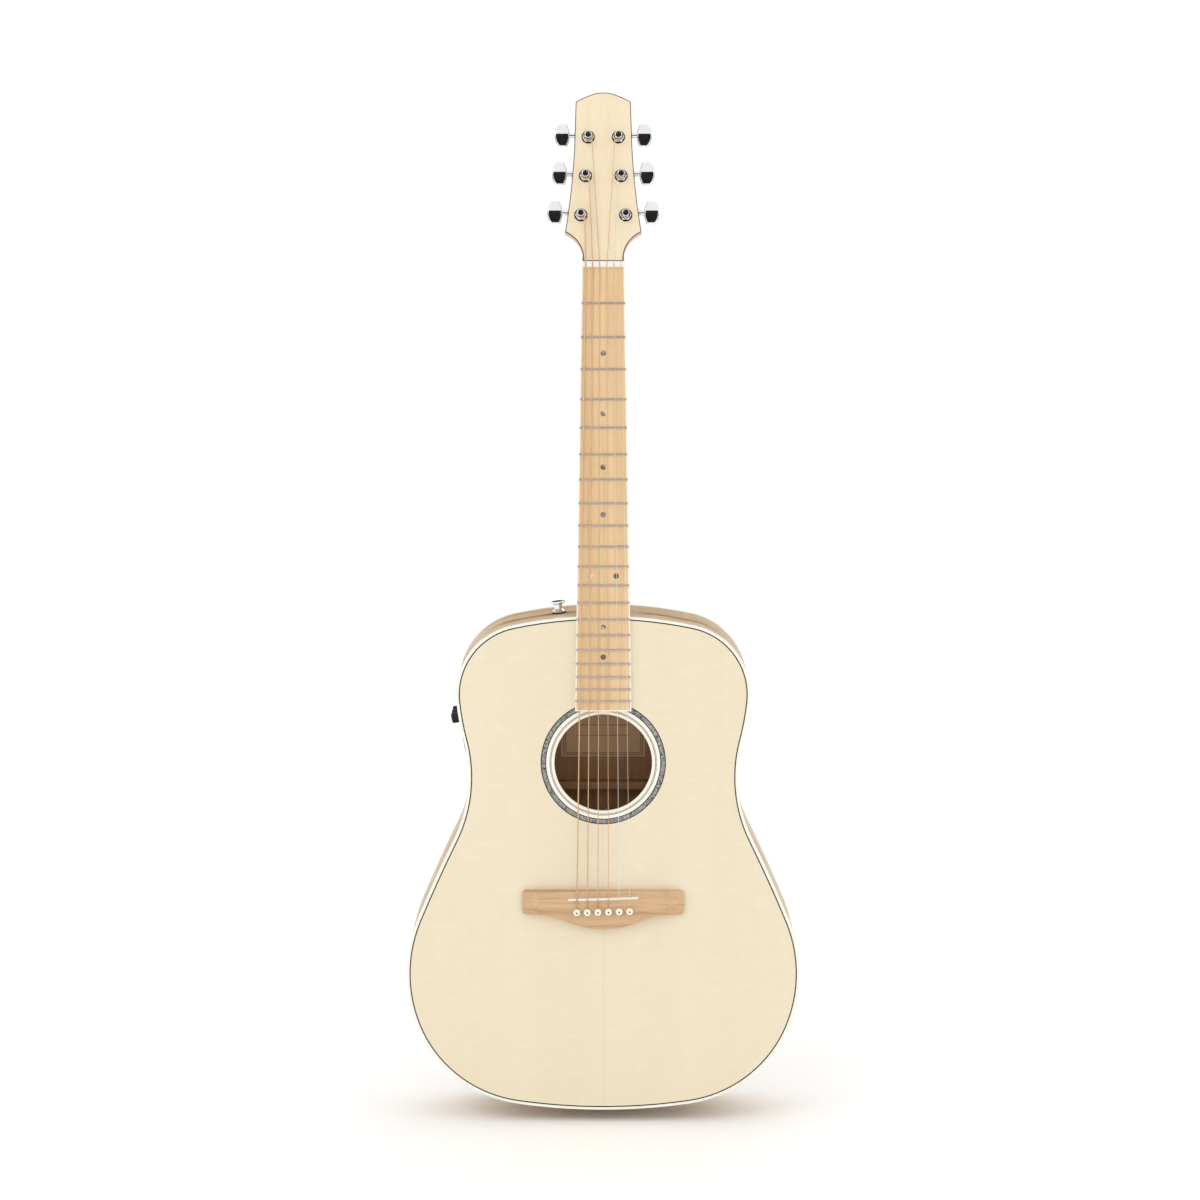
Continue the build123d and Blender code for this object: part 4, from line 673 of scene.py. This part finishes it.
def pin_dots():
    """Small dark dot let into the crown of each bridge pin."""
    made = bmesh.new()
    for index in range(6):
        x, z = pin_place(index)
        crown = made.verts.new((x * MM, PIN_TOP_Y * MM, z * MM))
        rings = []
        for share, sink in PIN_DOT_RINGS:
            ring = []
            for corner in range(PIN_DOT_SIDES):
                turn = 2 * math.pi * corner / PIN_DOT_SIDES
                reach = PIN_DOT_RADIUS * share
                ring.append(made.verts.new((
                    (x + reach * math.cos(turn)) * MM,
                    (PIN_TOP_Y + sink) * MM,
                    (z + reach * math.sin(turn)) * MM)))
            rings.append(ring)
        for corner in range(PIN_DOT_SIDES):
            after = (corner + 1) % PIN_DOT_SIDES
            made.faces.new((crown, rings[0][corner], rings[0][after]))
            for inner, outer in zip(rings, rings[1:]):
                made.faces.new((inner[corner], outer[corner], outer[after], inner[after]))
    bmesh.ops.recalc_face_normals(made, faces=made.faces)
    mesh = bpy.data.meshes.new("pin_dots")
    made.to_mesh(mesh)
    made.free()
    return mesh


piece("pin_dots", pin_dots(), "guitar", "black_plastic")


# ---- stage, light and camera --------------------------------------------------------------------
def flat_sheet(name, corners, material):
    mesh = bpy.data.meshes.new(name)
    mesh.from_pydata(corners, [], [tuple(range(len(corners)))])
    mesh.materials.append(material)
    made = bpy.data.objects.new(name, mesh)
    bpy.context.scene.collection.objects.link(made)
    return made


def floor_material():
    g = Graph("pale_floor")
    cloud = g.noise(g.place, scale=1.5, detail=3.0)
    return g.finish(g.mix(cloud, (255, 255, 255), (251, 251, 251)), g.spread(cloud, 0.6, 0.8))


def card_material():
    """Black cloth of the studio's dark panels, which only polished surfaces show."""
    g = Graph("dark_card")
    weave = g.noise(g.place, scale=400.0, detail=2.0)
    return g.finish(g.mix(weave, (4, 4, 4), (9, 9, 9)), g.spread(weave, 0.85, 0.95))


FLOOR_Z = CAD_BOX[0].z - 0.0005
FLOOR_HALF = 30.0
FLOOR_CORNERS = [(x * FLOOR_HALF, y * FLOOR_HALF, FLOOR_Z) for x, y in ((-1, -1), (1, -1), (1, 1), (-1, 1))]
flat_sheet("floor", FLOOR_CORNERS, floor_material())

CARD_AWAY = 3.3
CARD_FOOT = -0.4
CARDS = (                       # angle round the object, half width, top
    (0, 0.8, 2.2), (180, 0.8, 2.2), (90, 0.5, 1.2), (270, 0.5, 1.2),
    (45, 0.45, 1.6), (135, 0.45, 1.6), (225, 0.45, 1.6), (315, 0.45, 1.6),
)
CARD_CLOTH = card_material()
for angle, half, top in CARDS:
    card = flat_sheet(f"dark_card_{angle}", [
        (-half, -CARD_AWAY, CARD_FOOT), (half, -CARD_AWAY, CARD_FOOT),
        (half, -CARD_AWAY, top), (-half, -CARD_AWAY, top)], CARD_CLOTH)
    card.data.transform(Matrix.Rotation(math.radians(angle), 4, "Z"))
    card.visible_camera = False
    card.visible_diffuse = False
    card.visible_shadow = False
    card.visible_transmission = False

WORLD_STRENGTH = 1.04           # a little over 1, so that the pale floor fades into the background
world = bpy.data.worlds.new("studio")
world.use_nodes = True
world.node_tree.nodes["Background"].inputs["Color"].default_value = (1.0, 1.0, 1.0, 1.0)
world.node_tree.nodes["Background"].inputs["Strength"].default_value = WORLD_STRENGTH
bpy.context.scene.world = world


def soft_light(name, place, target, size, power):
    lamp = bpy.data.lights.new(name, "AREA")
    lamp.shape = "RECTANGLE"
    lamp.size, lamp.size_y = size
    lamp.energy = power
    made = bpy.data.objects.new(name, lamp)
    made.location = place
    made.rotation_mode = "QUATERNION"
    made.rotation_quaternion = (Vector(target) - Vector(place)).to_track_quat("-Z", "Y")
    bpy.context.scene.collection.objects.link(made)


soft_light("key", (-1.6, -2.6, 2.2), (0.0, 0.0, -0.35), (2.0, 1.4), 16.0)
soft_light("fill", (2.4, -2.0, 1.4), (0.0, 0.0, -0.35), (1.6, 1.6), 5.0)
soft_light("back", (0.6, 2.8, 2.0), (0.0, 0.0, -0.35), (2.0, 1.2), 8.0)

TARGET = Vector((-0.0033, 0.0, -0.3364))
DISTANCE = 3.5
RISE = math.radians(7.5)
camera = bpy.data.cameras.new("camera")
camera.lens = 103.5
camera.sensor_width = 36.0
holder = bpy.data.objects.new("camera", camera)
holder.location = TARGET + DISTANCE * Vector((0.0, -math.cos(RISE), math.sin(RISE)))
holder.rotation_mode = "QUATERNION"
holder.rotation_quaternion = (TARGET - holder.location).to_track_quat("-Z", "Y")
bpy.context.scene.collection.objects.link(holder)
bpy.context.scene.camera = holder
bpy.context.scene.view_settings.view_transform = "Standard"
